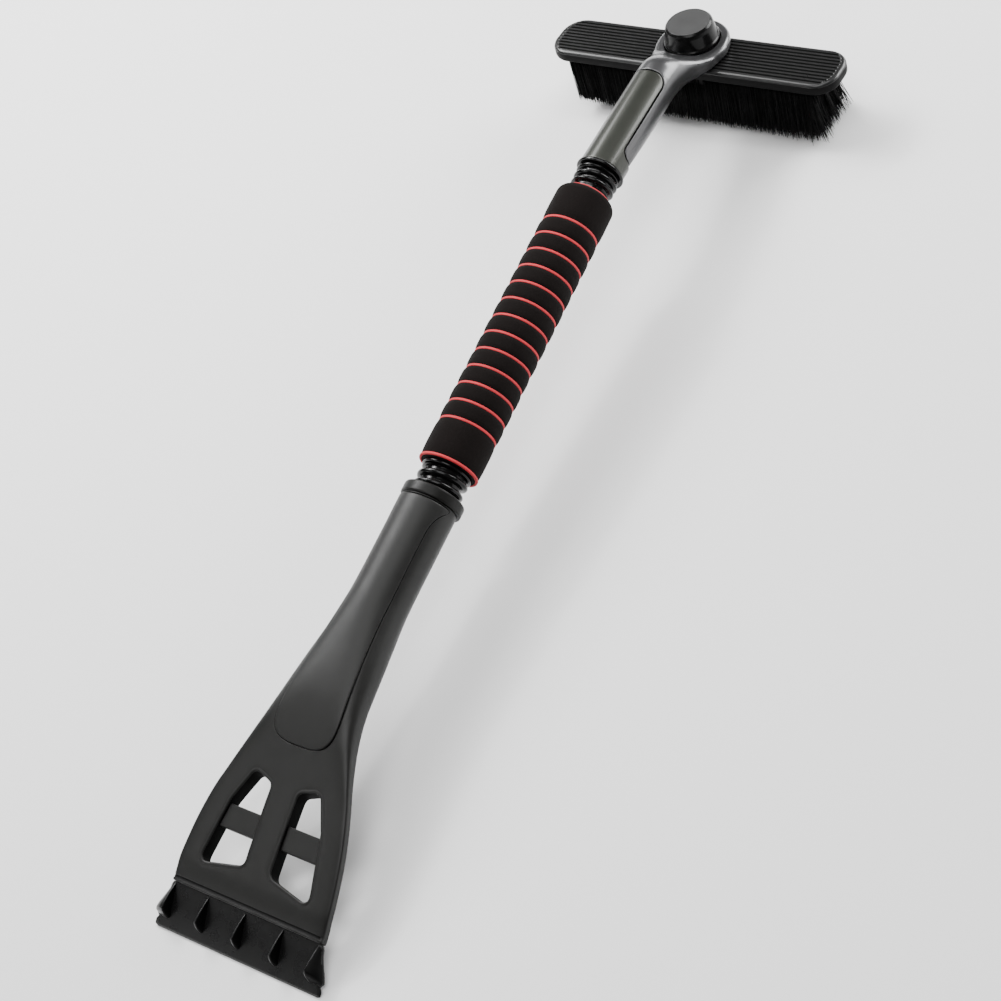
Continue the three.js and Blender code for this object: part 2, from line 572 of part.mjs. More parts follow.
/** Arm: a round bar whose underside is flat over the brush, run down into the swivel ring. */
const NECK = [ // distance from the swivel axis, half width, top, squareness of the section
  [-46, 14.3, 17.9, 2], [-40, 14.5, 16.6, 2.1], [-34, 15, 13.4, 2.3], [-28, 16.6, 8.8, 2.8],
  [-22, 19, 4.2, 3.6], [-16, 21.4, 1.2, 5], [-9, 22.6, 0, 7], [0, 23, -0.2, 8]];
const neckBottom = -RING_THICK - 6;
const neckRings = NECK.map(([x, width, top, square]) => {
  const ring = [];
  for (let j = 0; j < BODY_SIDES; j++) {
    const angle = (2 * Math.PI * j) / BODY_SIDES;
    const [c, s] = [Math.cos(angle), Math.sin(angle)];
    const [middle, height] = [(top + neckBottom) / 2, (top - neckBottom) / 2];
    const power = 2 / square;
    ring.push([x, width * Math.sign(c) * Math.abs(c) ** power,
      middle + height * Math.sign(s) * Math.abs(s) ** power]);
  }
  return ring;
});
const bar0 = SLEEVE_LENGTH + GAP;
const barEnd = 80;
const underCut = box([-108, -40, -60], [60, 40, -RING_THICK]); // room for the brush turned along the arm
const ringDisc = turnedZ([[0, -RING_THICK], [RING_R - 1, -RING_THICK], [RING_R, -RING_THICK + 1],
  [RING_R, -2.4], [RING_R - 0.8, -0.7], [RING_R - 2.4, 0], [0, 0]], 40);

/** Outline with square teeth on a round root; share is a tooth's part of its step. */
function toothed(rootR, tipR, share) {
  const step = (2 * Math.PI) / LOCK_TEETH;
  const points = [];
  for (let i = 0; i < LOCK_TEETH; i++) {
    for (const [r, a] of [[rootR, -share / 2], [tipR, -share / 2], [tipR, share / 2],
      [rootR, share / 2], [rootR, 0.5]]) {
      const angle = (i + a) * step;
      points.push(new THREE.Vector2(r * Math.cos(angle), r * Math.sin(angle)));
    }
  }
  return new THREE.Shape(points);
}

const GEAR = { rootR: 12.5, tipR: 14.5, bottom: -11.6, top: -4.6, share: 0.46 };
const shelfTop = -3.6;
const gearRoom = (z0, z1) => prism(toothed(GEAR.rootR + 0.4, GEAR.tipR + 0.4, GEAR.share + 0.1), z0, z1);
let arm = toHead(inArm(rod(bar0, barEnd, ARM_R))).intersect(box([-200, -40, -60], [-45.9, 40, 60]))
  .add(loft(neckRings))
  .add(ringDisc)
  .subtract(underCut)
  .subtract(post(0, 0, shelfTop, 40, BUTTON_BASE_R + 0.5, 32))
  .subtract(gearRoom(-20, shelfTop + 1));
arm = fromHead(arm).subtract(inArm(inlaySeat)).subtract(spigotRoom);
for (const screw of sleeveScrews) arm = arm.subtract(inArm(screwHole(...screw)));
const pocket = prism(roundRect(18, 15, 3), -RING_THICK - 1, -RING_THICK + 4.5, 3).translate([-45, 0, 0]);
arm = arm.subtract(fromHead(pocket));
piece(tool, "arm_shell", arm, "armGrey");
sleeveScrews.forEach((screw, i) => {
  piece(tool, `sleeve_screw_${i + 1}`, inArm(screwUp(...screw)), "steel");
});

// ---------------------------------------------------------------- swivel and button

/** Button: a tapered hollow cap with three legs that reach the lock gear through the retainer. */
const legRing = 10.2;
const legR = 1.5;
const capWall = 1.8;
const around = (count, place) => Array.from({ length: count }, (_, i) => {
  const angle = (2 * Math.PI * (i + 0.5)) / count;
  return place(legRing * Math.cos(angle), legRing * Math.sin(angle));
});
let button = turnedZ([[0, 0.9], [BUTTON_BASE_R - 0.6, 0.9], [BUTTON_BASE_R, 1.8], [BUTTON_BASE_R - 0.2, 5],
  [BUTTON_TOP_R + 2, BUTTON_HEIGHT - 4], [BUTTON_TOP_R + 1.3, BUTTON_HEIGHT - 1.6],
  [BUTTON_TOP_R, BUTTON_HEIGHT], [0, BUTTON_HEIGHT]], 36)
  .subtract(turnedZ([[0, 0], [BUTTON_BASE_R - capWall, 0], [BUTTON_TOP_R - capWall, BUTTON_HEIGHT - 2.4],
    [0, BUTTON_HEIGHT - 2.4]], 24));
for (const leg of around(3, (x, y) => post(x, y, GEAR.top + GAP, BUTTON_HEIGHT - 2, legR, 10))) {
  button = button.add(leg);
}
piece(head, "lock_button", button, "button");

/** Lock gear: its teeth bridge the arm's ring and the hub, until the button pushes it down. */
const webThick = 2;
const gear = prism(toothed(GEAR.rootR, GEAR.tipR, GEAR.share), GEAR.bottom, GEAR.top)
  .subtract(post(0, 0, GEAR.bottom - 1, GEAR.top - webThick, 9, 20))
  .subtract(post(0, 0, GEAR.bottom - 1, GEAR.top + 1, 5, 16));
piece(head, "lock_gear", gear, "steel");

/** Hub: a toothed cup fixed under the brush plate, with the post that holds the arm down. */
const hubFloor = -18.4;
const hubBottom = -20.4;
const HUB_R = 17;
const postR = 4.2;
const postTop = -3.9;
const flangeR = 21;
const flangeHalf = HUB_R; // the flange is cut straight along the plate, which covers it
const hub = post(0, 0, hubBottom, -16.6, flangeR, 32)
  .intersect(box([-flangeHalf, -30, -40], [flangeHalf, 30, 0]))
  .add(post(0, 0, hubBottom, PLATE_TOP, HUB_R, 32))
  .subtract(gearRoom(hubFloor, 0))
  .add(post(0, 0, hubFloor - 1, postTop, postR, 16))
  .subtract(post(0, 0, hubFloor + 2, 0, 1.9, 12));
piece(head, "swivel_hub", hub, "blackPlastic");

/** Retainer: the washer that keeps the arm's ring on the hub. The legs hold it while its screw turns. */
let retainer = post(0, 0, shelfTop + 0.2, shelfTop + 1.4, 14.3, 28).subtract(post(0, 0, -10, 5, 2.4, 12));
for (const hole of around(3, (x, y) => post(x, y, -10, 5, legR + 0.5, 10))) {
  retainer = retainer.subtract(hole);
}
piece(head, "pivot_retainer", retainer, "steel");
const pivotScrew = turnedZ([[0, -15], [1.6, -15], [1.6, shelfTop + 1.7], [5, shelfTop + 1.7],
  [5, shelfTop + 3.2], [3.6, shelfTop + 4.4], [0, shelfTop + 4.4]], 16)
  .subtract(prism(roundRect(6, 1.2, 0.3), shelfTop + 3.4, 4, 2));
piece(head, "pivot_screw", pivotScrew, "steel");

/** Return spring under the gear. */
class Helix extends THREE.Curve {
  constructor(radius, z0, z1, turns) {
    super();
    Object.assign(this, { radius, z0, z1, turns });
  }

  getPoint(t, target = new THREE.Vector3()) {
    const angle = 2 * Math.PI * this.turns * t;
    return target.set(this.radius * Math.cos(angle), this.radius * Math.sin(angle),
      this.z0 + (this.z1 - this.z0) * t);
  }
}
const wireR = 0.6;
const wire = new THREE.Shape();
wire.absarc(0, 0, wireR, 0, 2 * Math.PI);
const springPath = new Helix(6.9, hubFloor + wireR + 0.4, GEAR.top - webThick - wireR - 0.4, 4);
const springOptions = { steps: 40, curveSegments: 3, extrudePath: springPath, bevelEnabled: false };
piece(head, "button_spring", solid(new THREE.ExtrudeGeometry(wire, springOptions)), "steel");

// ---------------------------------------------------------------- brush

/** Turns a solid made along X so that it runs along the brush. */
const acrossBrush = (shape) => shape.rotate([0, 0, 90]);

/** Ribbed plate: grooves along the top, a flange hole for the hub and a pocket underneath. */
const plateRim = prism(roundRect(PLATE_LENGTH, PLATE_WIDTH, 15), PLATE_TOP - PLATE_THICK, PLATE_TOP - 1.2);
const plateFace = prism(roundRect(PLATE_LENGTH - 2.4, PLATE_WIDTH - 2.4, 14), PLATE_TOP - 2, PLATE_TOP);
let plate = acrossBrush(plateRim.add(plateFace));
const ribPitch = 3.1;
const grooveWidth = 1.2;
for (let i = 0; i < RIB_COUNT; i++) {
  const x = (i - (RIB_COUNT - 1) / 2) * ribPitch;
  const endRoom = 13 * (1 - Math.sqrt(1 - (x / 19) ** 2)); // the plate's rounded end
  const half = PLATE_LENGTH / 2 - 5 - endRoom;
  plate = plate.subtract(box([x - grooveWidth / 2, -half, PLATE_TOP - 0.9], [x + grooveWidth / 2, half, 0]));
}
const blockTop = PLATE_TOP - 4 - GAP;
const blockBottom = blockTop - 9.5;
const blockScrews = [-80, -34, 34, 80].map((y) => [0, y, blockBottom + GAP, 2.2, PLATE_TOP - 2.2, 1.1]);
plate = plate
  .subtract(post(0, 0, -40, 0, HUB_R + GAP, 32))
  .subtract(acrossBrush(prism(roundRect(BLOCK_LENGTH + 2, BLOCK_WIDTH + 1, 6), -40, PLATE_TOP - 4, 3)))
  .subtract(post(0, 0, -40, PLATE_TOP - 4, flangeR + GAP, 32).intersect(box([-15, -30, -40], [15, 30, 0])));
for (const screw of blockScrews) plate = plate.subtract(screwHole(...screw));
piece(head, "brush_plate", plate, "blackPlastic");

/** Bristle block, held up into the plate by four screws. */
let block = acrossBrush(prism(roundRect(BLOCK_LENGTH, BLOCK_WIDTH, 5), blockBottom, blockTop, 3))
  .subtract(post(0, 0, hubBottom - GAP, 0, flangeR + GAP, 24));
for (const screw of blockScrews) block = block.subtract(screwHole(...screw));
piece(head, "bristle_block", block, "blackPlastic");
blockScrews.forEach((screw, i) => piece(head, `block_screw_${i + 1}`, screwUp(...screw), "steel"));

/** Rows of bristles, each a plain slab of the bristles' own length. */
const rowPitch = 6.5;
const rowThick = 5.8;
const rowHalf = 87;
const bristleTop = blockBottom - GAP;
for (let i = 0; i < BRISTLE_ROWS; i++) {
  const x = (i - (BRISTLE_ROWS - 1) / 2) * rowPitch;
  const row = box([x - rowThick / 2, -rowHalf, BRISTLE_TIP], [x + rowThick / 2, rowHalf, bristleTop]);
  piece(head, `bristle_row_${i + 1}`, row, "bristle");
}

// ---------------------------------------------------------------- resting place

/** Tips the tool so that the scraping edge and the last bristles stand at one height. */
const lastBristle = new THREE.Vector3(rowPitch * 2 + rowThick / 2, 0, BRISTLE_TIP)
  .applyAxisAngle(new THREE.Vector3(0, 1, 0), HEAD_TILT)
  .add(HEAD);
tool.rotation.y = Math.atan((EDGE_Z - 1.2 - lastBristle.z) / (EDGE_X - lastBristle.x));
tool.updateMatrixWorld(true);
const bounds = new THREE.Box3().setFromObject(tool, true);
const group = new THREE.Group();
tool.position.set(-(bounds.min.x + bounds.max.x) / 2, -(bounds.min.y + bounds.max.y) / 2, -bounds.min.z);
group.add(tool);
group.updateMatrixWorld(true);

export default group;
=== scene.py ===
"""Windshield ice scraper: the visual model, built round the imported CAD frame.

Shapes are worked out in millimetres in two local frames and then put into the row frame, in metres.
POLE has +X along the pole towards the brush, +Z up and its origin in the middle of the grip. HEAD has
its origin on the swivel axis, level with the top of the arm's ring, and +Z along that axis.
"""

import json
import math

import bmesh
import bpy
import numpy as np
from mathutils import Matrix, Vector, geometry
from mathutils.kdtree import KDTree


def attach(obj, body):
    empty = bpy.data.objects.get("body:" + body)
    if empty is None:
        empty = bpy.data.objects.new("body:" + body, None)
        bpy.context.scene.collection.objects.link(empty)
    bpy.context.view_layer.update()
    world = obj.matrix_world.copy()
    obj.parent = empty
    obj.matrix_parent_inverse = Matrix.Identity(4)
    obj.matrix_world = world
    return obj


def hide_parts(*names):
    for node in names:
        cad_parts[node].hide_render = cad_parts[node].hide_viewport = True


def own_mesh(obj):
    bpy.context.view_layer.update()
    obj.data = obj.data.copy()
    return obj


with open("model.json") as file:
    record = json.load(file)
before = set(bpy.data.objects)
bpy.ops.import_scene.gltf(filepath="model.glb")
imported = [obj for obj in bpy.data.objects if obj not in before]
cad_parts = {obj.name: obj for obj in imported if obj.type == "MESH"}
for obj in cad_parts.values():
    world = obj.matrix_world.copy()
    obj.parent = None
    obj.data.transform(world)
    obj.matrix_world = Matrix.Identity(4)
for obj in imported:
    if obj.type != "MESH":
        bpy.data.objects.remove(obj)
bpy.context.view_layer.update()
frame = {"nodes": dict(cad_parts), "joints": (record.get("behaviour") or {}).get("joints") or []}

MM = 0.001
random = np.random.default_rng(20)

# ------------------------------------------------------------------ frames

joints = {joint["name"]: joint for joint in frame["joints"]}
ARM_START = 118.5  # from the middle of the grip to the mouth of the arm's socket
ARM_SLOPE = math.radians(7.2)  # the arm points down by this towards the brush


def local_frame(origin, x, z):
    """Matrix that takes millimetres in a local frame to metres in the row frame."""
    x, z = Vector(x).normalized(), Vector(z).normalized()
    matrix = Matrix((x, z.cross(x), z)).transposed().to_4x4()
    matrix.translation = origin
    return matrix @ Matrix.Scale(MM, 4)


pole_x = Vector(joints["arm_unscrew"]["axis"]).normalized()
swivel_z = Vector(joints["brush_swivel"]["axis"]).normalized()
side = Vector((0, 1, 0))
pole_origin = Vector(joints["arm_unscrew"]["pos_m"]) - pole_x * ARM_START * MM
POLE = local_frame(pole_origin, pole_x, pole_x.cross(side))
HEAD = local_frame(joints["brush_swivel"]["pos_m"], side.cross(swivel_z), swivel_z)
X_TO_Z = Matrix.Rotation(-math.pi / 2, 4, "Y")  # a piece turned about X stands up along Z

# ------------------------------------------------------------------ materials


def surface(name, colour, roughness, metallic=0.0, grain=900, bump=0.05, spread=0.12,
            rough_spread=0.06, coat=0.0, sheen=0.0, specular=0.5, streaks=None, mottle=60):
    """A moulded, painted or drawn surface: mottled colour, uneven roughness and fine grain.

    grain and mottle are feature counts per metre. streaks stretches the noise along one axis.
    """
    material = bpy.data.materials.new(name)
    material.use_nodes = True
    nodes, links = material.node_tree.nodes, material.node_tree.links
    shader = nodes["Principled BSDF"]
    place = nodes.new("ShaderNodeTexCoord")
    mapping = nodes.new("ShaderNodeMapping")
    if streaks:
        mapping.inputs["Scale"].default_value = streaks
    links.new(place.outputs["Object"], mapping.inputs["Vector"])

    def noise(scale, detail):
        node = nodes.new("ShaderNodeTexNoise")
        node.inputs["Scale"].default_value = scale
        node.inputs["Detail"].default_value = detail
        links.new(mapping.outputs["Vector"], node.inputs["Vector"])
        return node.outputs["Fac"]

    tint = nodes.new("ShaderNodeMix")
    tint.data_type = "RGBA"
    tint.inputs["A"].default_value = (*[c * (1 - spread) for c in colour], 1)
    tint.inputs["B"].default_value = (*[min(1, c * (1 + spread)) for c in colour], 1)
    links.new(noise(mottle, 4), tint.inputs["Factor"])
    links.new(tint.outputs["Result"], shader.inputs["Base Color"])
    uneven = nodes.new("ShaderNodeMapRange")
    uneven.inputs["To Min"].default_value = max(0.02, roughness - rough_spread)
    uneven.inputs["To Max"].default_value = min(1, roughness + rough_spread)
    links.new(noise(mottle * 2.3, 3), uneven.inputs["Value"])
    links.new(uneven.outputs["Result"], shader.inputs["Roughness"])
    relief = nodes.new("ShaderNodeBump")
    relief.inputs["Strength"].default_value = bump
    relief.inputs["Distance"].default_value = 0.0004
    links.new(noise(grain, 3), relief.inputs["Height"])
    links.new(relief.outputs["Normal"], shader.inputs["Normal"])
    shader.inputs["Metallic"].default_value = metallic
    shader.inputs["Coat Weight"].default_value = coat
    shader.inputs["Coat Roughness"].default_value = 0.12
    shader.inputs["Sheen Weight"].default_value = sheen
    shader.inputs["Specular IOR Level"].default_value = specular
    return material


BLACK = surface("satin_black_plastic", (0.006, 0.006, 0.0055), 0.42, grain=2600, bump=0.10,
                specular=0.27)
TONGUE = surface("smooth_black_plastic", (0.0065, 0.0065, 0.006), 0.46, grain=2600, bump=0.08,
                 specular=0.28)
# A darker, less reflective copy of the black plastic for the collar: painted shade.
COLLAR = surface("collar_black_plastic_painted_shade", (0.005, 0.005, 0.0045), 0.4, grain=2600, bump=0.10,
                 specular=0.16)
BLADE = surface("blade_plastic", (0.006, 0.006, 0.006), 0.28, grain=1800, bump=0.06,
                specular=0.26)
# A darker, barely reflective copy of the black plastic: painted shade for window walls, grooves,
# recesses, tooth flanks and the plate's wall.
PAINTED_SHADE = surface("painted_shade_black_plastic", (0.0025, 0.0025, 0.0025), 0.5, grain=2600, bump=0.08,
                 specular=0.05)
FLANK = surface("polished_black_plastic", (0.003, 0.003, 0.003), 0.2, grain=900, bump=0.04,
                rough_spread=0.04, specular=0.14)
GLOSS = surface("gloss_black_plastic", (0.003, 0.003, 0.003), 0.13, grain=700, bump=0.03,
                rough_spread=0.03, specular=0.2)
FOAM = surface("closed_cell_foam", (0.0042, 0.0028, 0.0025), 0.95, grain=2200, bump=0.55, sheen=0.01,
               specular=0.1, mottle=500)
STRIPE = surface("red_foam", (0.47, 0.024, 0.031), 0.7, grain=2200, bump=0.35, specular=0.3,
                 mottle=400)
ARM_PAINT = surface("grey_metal_paint", (0.075, 0.075, 0.077), 0.31, metallic=0.75, grain=3500,
                    bump=0.05, coat=0.3, spread=0.06)
INLAY = surface("olive_grey_paint", (0.018, 0.0195, 0.0145), 0.36, metallic=0.5, grain=3500, bump=0.05,
                coat=0.25, spread=0.06)
BUTTON_TOP = surface("grey_button_face", (0.036, 0.036, 0.036), 0.32, grain=2600, bump=0.05)
PLATE = surface("ribbed_black_plastic", (0.009, 0.009, 0.009), 0.3, grain=1800, bump=0.08,
                specular=0.4)
BRISTLE = surface("black_nylon", (0.0012, 0.0012, 0.0012), 0.6, grain=300, bump=0.0, spread=0.4,
                  specular=0.1, mottle=900)
ALUMINIUM = surface("drawn_aluminium", (0.72, 0.73, 0.74), 0.3, metallic=1.0, grain=900, bump=0.08,
                    streaks=(0.03, 1, 1))
STEEL = surface("zinc_plated_steel", (0.52, 0.52, 0.53), 0.32, metallic=1.0, grain=1500, bump=0.06)

# ------------------------------------------------------------------ mesh tools


def make(name, points, faces, where, body, materials, replaces=(), slot=None, sharp=None,
         material_of=None):
    """A piece from points in millimetres in a local frame; material_of picks a slot for a face."""
    matrix = np.array(where)
    points = np.asarray(points, float) @ matrix[:3, :3].T + matrix[:3, 3]
    mesh = bpy.data.meshes.new(name)
    mesh.from_pydata(points.tolist(), [], [list(map(int, face)) for face in faces])
    for material in materials:
        mesh.materials.append(material)
    work = bmesh.new()
    work.from_mesh(mesh)
    bmesh.ops.remove_doubles(work, verts=work.verts, dist=2e-6)
    bmesh.ops.dissolve_degenerate(work, edges=work.edges, dist=1e-7)
    bmesh.ops.recalc_face_normals(work, faces=work.faces)
    if material_of:
        inverse = where.inverted()
        for face in work.faces:
            face.material_index = material_of(inverse @ face.calc_center_median())
    work.to_mesh(mesh)
    work.free()
    mesh.shade_smooth()
    if sharp is not None:
        mesh.set_sharp_from_angle(angle=math.radians(sharp))
    piece = bpy.data.objects.new(name, mesh)
    bpy.context.scene.collection.objects.link(piece)
    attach(piece, body)
    if replaces:
        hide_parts(*replaces)
    return piece


def rounded(corners, steps=4):
    """A closed line through (x, y, radius) corners, each turned into an arc of about that radius."""
    line = []
    for i, (x, y, radius) in enumerate(corners):
        corner = np.array([x, y], float)
        if radius == 0:
            line.append(corner)
            continue
        before = np.array(corners[i - 1][:2]) - corner
        after = np.array(corners[(i + 1) % len(corners)][:2]) - corner
        lengths = np.linalg.norm(before), np.linalg.norm(after)
        before, after = before / lengths[0], after / lengths[1]
        half = math.acos(np.clip(before @ after, -1, 1)) / 2
        reach = min(radius / math.tan(half), 0.49 * min(lengths))
        for t in np.linspace(0, 1, steps + 1):
            line.append(corner + before * reach * (1 - t) ** 2 + after * reach * t * t)
    return np.array(line)


def full_turn(count):
    return np.linspace(0, 2 * np.pi, count, endpoint=False)


def turned(profile, sides=96):
    """Points and faces of a closed round solid about X from its [x, radius] outline."""
    x, radius = np.asarray(profile, float).T[..., None]
    points = around_x(x, radius, full_turn(sides))
    return points.reshape(-1, 3), grid_faces(len(x), sides, True, True)


def grid_faces(rows, columns, wrap_rows=False, wrap_columns=False, start=0):
    """Quads over a grid of points numbered row by row."""
    i, j = np.meshgrid(np.arange(rows - (not wrap_rows)), np.arange(columns - (not wrap_columns)),
                       indexing="ij")
    i, j = i.ravel(), j.ravel()
    k, m = (i + 1) % rows, (j + 1) % columns
    return start + np.column_stack([i * columns + j, i * columns + m, k * columns + m, k * columns + j])


def lofted(rings):
    """A closed shell through rings of the same number of points, with flat ends."""
    n = len(rings[0])
    faces = [*grid_faces(len(rings), n, False, True), list(range(n)),
             list(range(n * (len(rings) - 1), n * len(rings)))[::-1]]
    return np.vstack(rings), faces


def joined(*parts):
    """Several closed shells as one set of points and faces."""
    points, faces, start = [], [], 0
    for p, f in parts:
        points.append(p)
        faces += [[int(i) + start for i in face] for face in f]
        start += len(p)
    return np.vstack(points), faces


def around_x(x, radius, angle):
    """Points on circles about X."""
    x, radius, angle = np.broadcast_arrays(x, radius, angle)
    return np.stack([x, radius * np.cos(angle), radius * np.sin(angle)], axis=-1)


def smooth_step(t):
    return t**2 * (3 - 2 * t)


def eased(table, x):
    """Smooth values between the rows of a table of (x, value, ...) without overshoot."""
    table = np.asarray(table, float)
    xs, values = table[:, 0], table[:, 1:]
    steps = np.diff(xs)[:, None]
    slopes = np.diff(values, axis=0) / steps
    tangents = np.zeros_like(values)
    a, b = slopes[:-1], slopes[1:]
    mean = (a * steps[1:] + b * steps[:-1]) / (steps[1:] + steps[:-1])
    limit = 3 * np.minimum(np.abs(a), np.abs(b))
    tangents[1:-1] = np.where(a * b > 0, np.sign(mean) * np.minimum(np.abs(mean), limit), 0)
    x = np.clip(np.asarray(x, float), xs[0], xs[-1])
    i = np.clip(np.searchsorted(xs, x) - 1, 0, len(xs) - 2)
    h = (xs[i + 1] - xs[i])[..., None]
    t = (x - xs[i])[..., None] / h
    found = ((2 * t**3 - 3 * t**2 + 1) * values[i] + (t**3 - 2 * t**2 + t) * h * tangents[i]
             + (3 * t**2 - 2 * t**3) * values[i + 1] + (t**3 - t**2) * h * tangents[i + 1])
    return np.moveaxis(found, -1, 0)


def resampled(loop, spacing):
    """A closed loop with its points about that far apart."""
    loop = np.asarray(loop, float)
    ring = np.vstack([loop, loop[:1]])
    along = np.concatenate([[0], np.cumsum(np.linalg.norm(np.diff(ring, axis=0), axis=1))])
    count = max(8, round(along[-1] / spacing))
    at = np.linspace(0, along[-1], count, endpoint=False)
    return np.column_stack([np.interp(at, along, ring[:, k]) for k in range(loop.shape[1])])


def outward(loop):
    """Unit normals of a closed flat loop, pointing out of it."""
    tangent = np.roll(loop, -1, axis=0) - np.roll(loop, 1, axis=0)
    tangent /= np.linalg.norm(tangent, axis=1)[:, None]
    x, y = loop.T
    area = np.sum(x * np.roll(y, -1) - np.roll(x, -1) * y)
    return np.column_stack([tangent[:, 1], -tangent[:, 0]]) * np.sign(area)


def inside(points, loop):
    """Which points lie inside a closed flat loop."""
    x, y = points[:, 0:1], points[:, 1:2]
    ax, ay = loop.T
    bx, by = np.roll(loop, -1, axis=0).T
    spans = (ay > y) != (by > y)
    crossing = (bx - ax) * (y - ay) / np.where(by == ay, 1e-12, by - ay) + ax
    return (np.sum(spans & (x < crossing), axis=1) % 2).astype(bool)


def distance_to(points, others):
    """Distance from each of the other points to its nearest point."""
    tree = KDTree(len(points))
    for i, point in enumerate(points):
        tree.insert((*point, 0), i)
    tree.balance()
    return np.array([tree.find((*other, 0))[2] for other in others])


def triangulated(outline, holes, features, spacing, rows_of=()):
    """Triangles over a flat outline with holes, with lines of points along the feature loops.

    rows_of are further points that keep a tight bend smooth. Returns the points, the triangles and
    the index of each loop's first point, outline first.
    """
    loops = [outline, *holes, *features]
    starts = np.cumsum([0, *[len(loop) for loop in loops]])
    edge_points = np.vstack(loops)
    low, high = outline.min(axis=0), outline.max(axis=0)
    rows = np.arange(low[1], high[1], spacing * 0.87)
    grid = np.array([(x + (spacing / 2 if i % 2 else 0), y) for i, y in enumerate(rows)
                     for x in np.arange(low[0], high[0], spacing)])
    keep = inside(grid, outline)
    for hole in holes:
        keep &= ~inside(grid, hole)
    points = edge_points
    for more, gap in ((np.asarray(rows_of), 0.3), (grid[keep], 0.6 * spacing)):
        if len(more):
            points = np.vstack([points, more[distance_to(points, more) > gap]])
    edges = [(int(s + i), int(s + (i + 1) % len(loop))) for s, loop in zip(starts, loops)
             for i in range(len(loop))]
    found = geometry.delaunay_2d_cdt([Vector(p) for p in points], edges, [], 0, 1e-7)
    flat = np.array([tuple(p) for p in found[0]])
    triangles = np.array([face for face in found[2] if len(face) == 3])
    centres = flat[triangles].mean(axis=1)
    keep = inside(centres, outline)
    for hole in holes:
        keep &= ~inside(centres, hole)
    return flat, triangles[keep], starts


def strip(first, second, closed=True):
    """Quads between two lines of point numbers of the same length."""
    first, second = np.asarray(first), np.asarray(second)
    faces = np.column_stack([first, np.roll(first, -1), np.roll(second, -1), second])
    return faces if closed else faces[:-1]


def rmax(a, b, r):
    """Intersection of two distance fields with a round edge."""
    return np.minimum(-r, np.maximum(a, b)) + np.hypot(np.maximum(a + r, 0), np.maximum(b + r, 0))


def rmin(a, b, r):
    """Union of two distance fields with a fillet."""
    return np.maximum(r, np.minimum(a, b)) - np.hypot(np.maximum(r - a, 0), np.maximum(r - b, 0))


def skin_of(field, low, high, step):
    """Points and quads on the zero surface of a distance field over a box."""
    axes = [np.arange(a, b + step, step) for a, b in zip(low, high)]
    value = field(*np.meshgrid(*axes, indexing="ij", sparse=True))
    within = value < 0
    cells = np.array(value.shape) - 1
    corners = [(i, j, k) for i in (0, 1) for j in (0, 1) for k in (0, 1)]
    part = [within[i:cells[0] + i, j:cells[1] + j, k:cells[2] + k] for i, j, k in corners]
    count = np.sum(part, axis=0)
    active = np.argwhere((count > 0) & (count < 8))
    number = np.full(cells, -1, np.int64)
    number[tuple(active.T)] = np.arange(len(active))
    total, crossings = np.zeros((len(active), 3)), np.zeros(len(active))
    for a in corners:
        for axis in range(3):
            if a[axis]:
                continue
            b = list(a)
            b[axis] = 1
            at = active + a
            fa, fb = value[tuple(at.T)], value[tuple((active + b).T)]
            cross = (fa < 0) != (fb < 0)
            point = at.astype(float)
            point[:, axis] += np.where(cross, fa / np.where(fa == fb, 1, fa - fb), 0)
            total += point * cross[:, None]
            crossings += cross
    points = np.array(low) + step * total / crossings[:, None]
    for _ in range(4):  # settle the points onto the surface
        h = step * 0.2
        f = field(*points.T)
        slope = np.column_stack([
            (field(*(points + d).T) - field(*(points - d).T)) / (2 * h) for d in np.eye(3) * h])
        size = np.maximum((slope**2).sum(axis=1), 0.05)
        move = slope * (f / size)[:, None]
        length = np.linalg.norm(move, axis=1)[:, None]
        points -= move * np.minimum(1, 0.4 * step / np.maximum(length, 1e-9))
    faces = []
    for axis in range(3):
        u, v = [k for k in range(3) if k != axis]
        here = [slice(None)] * 3
        there = [slice(None)] * 3
        here[axis], there[axis] = slice(0, -1), slice(1, None)
        change = within[tuple(here)] != within[tuple(there)]
        at = np.argwhere(change)
        at = at[(at[:, u] > 0) & (at[:, v] > 0) & (at[:, u] < cells[u]) & (at[:, v] < cells[v])]
        quad = []
        for du, dv in ((0, 0), (1, 0), (1, 1), (0, 1)):
            cell = at.copy()
            cell[:, u] -= du
            cell[:, v] -= dv
            quad.append(number[tuple(cell.T)])
        faces.append(np.column_stack(quad))
    return points, np.vstack(faces)


# ------------------------------------------------------------------ grip

UPPER_END = 99
LOWER_END = 97.6  # squeezed in a little by the plug's flange
SHOULDER = 6  # the upper end rolls in over this length
SHOULDER_R = 18.7
GRIP_R = 18.85
STRIPES = 13
STRIPE_PITCH = 11.93
STRIPE_HALF = 0.9
STRIPE_BED_R = 17.4
RING = 1.75  # length of the red ring round the foam's lower end
FOAM_BORE_R = 12.9
SEGMENT_ROWS = 13

stripe_x = (np.arange(STRIPES) - (STRIPES - 1) / 2) * STRIPE_PITCH


def bulge(x0, x1, count, swell=0.75):
    """Outline of one foam segment: fullest in the middle, rolled in at its edges."""
    t = np.linspace(0, 1, count)
    t = 0.5 - 0.5 * np.cos(np.pi * t)
    return np.column_stack([x0 + (x1 - x0) * t, GRIP_R - swell * np.abs(2 * t - 1) ** 4])


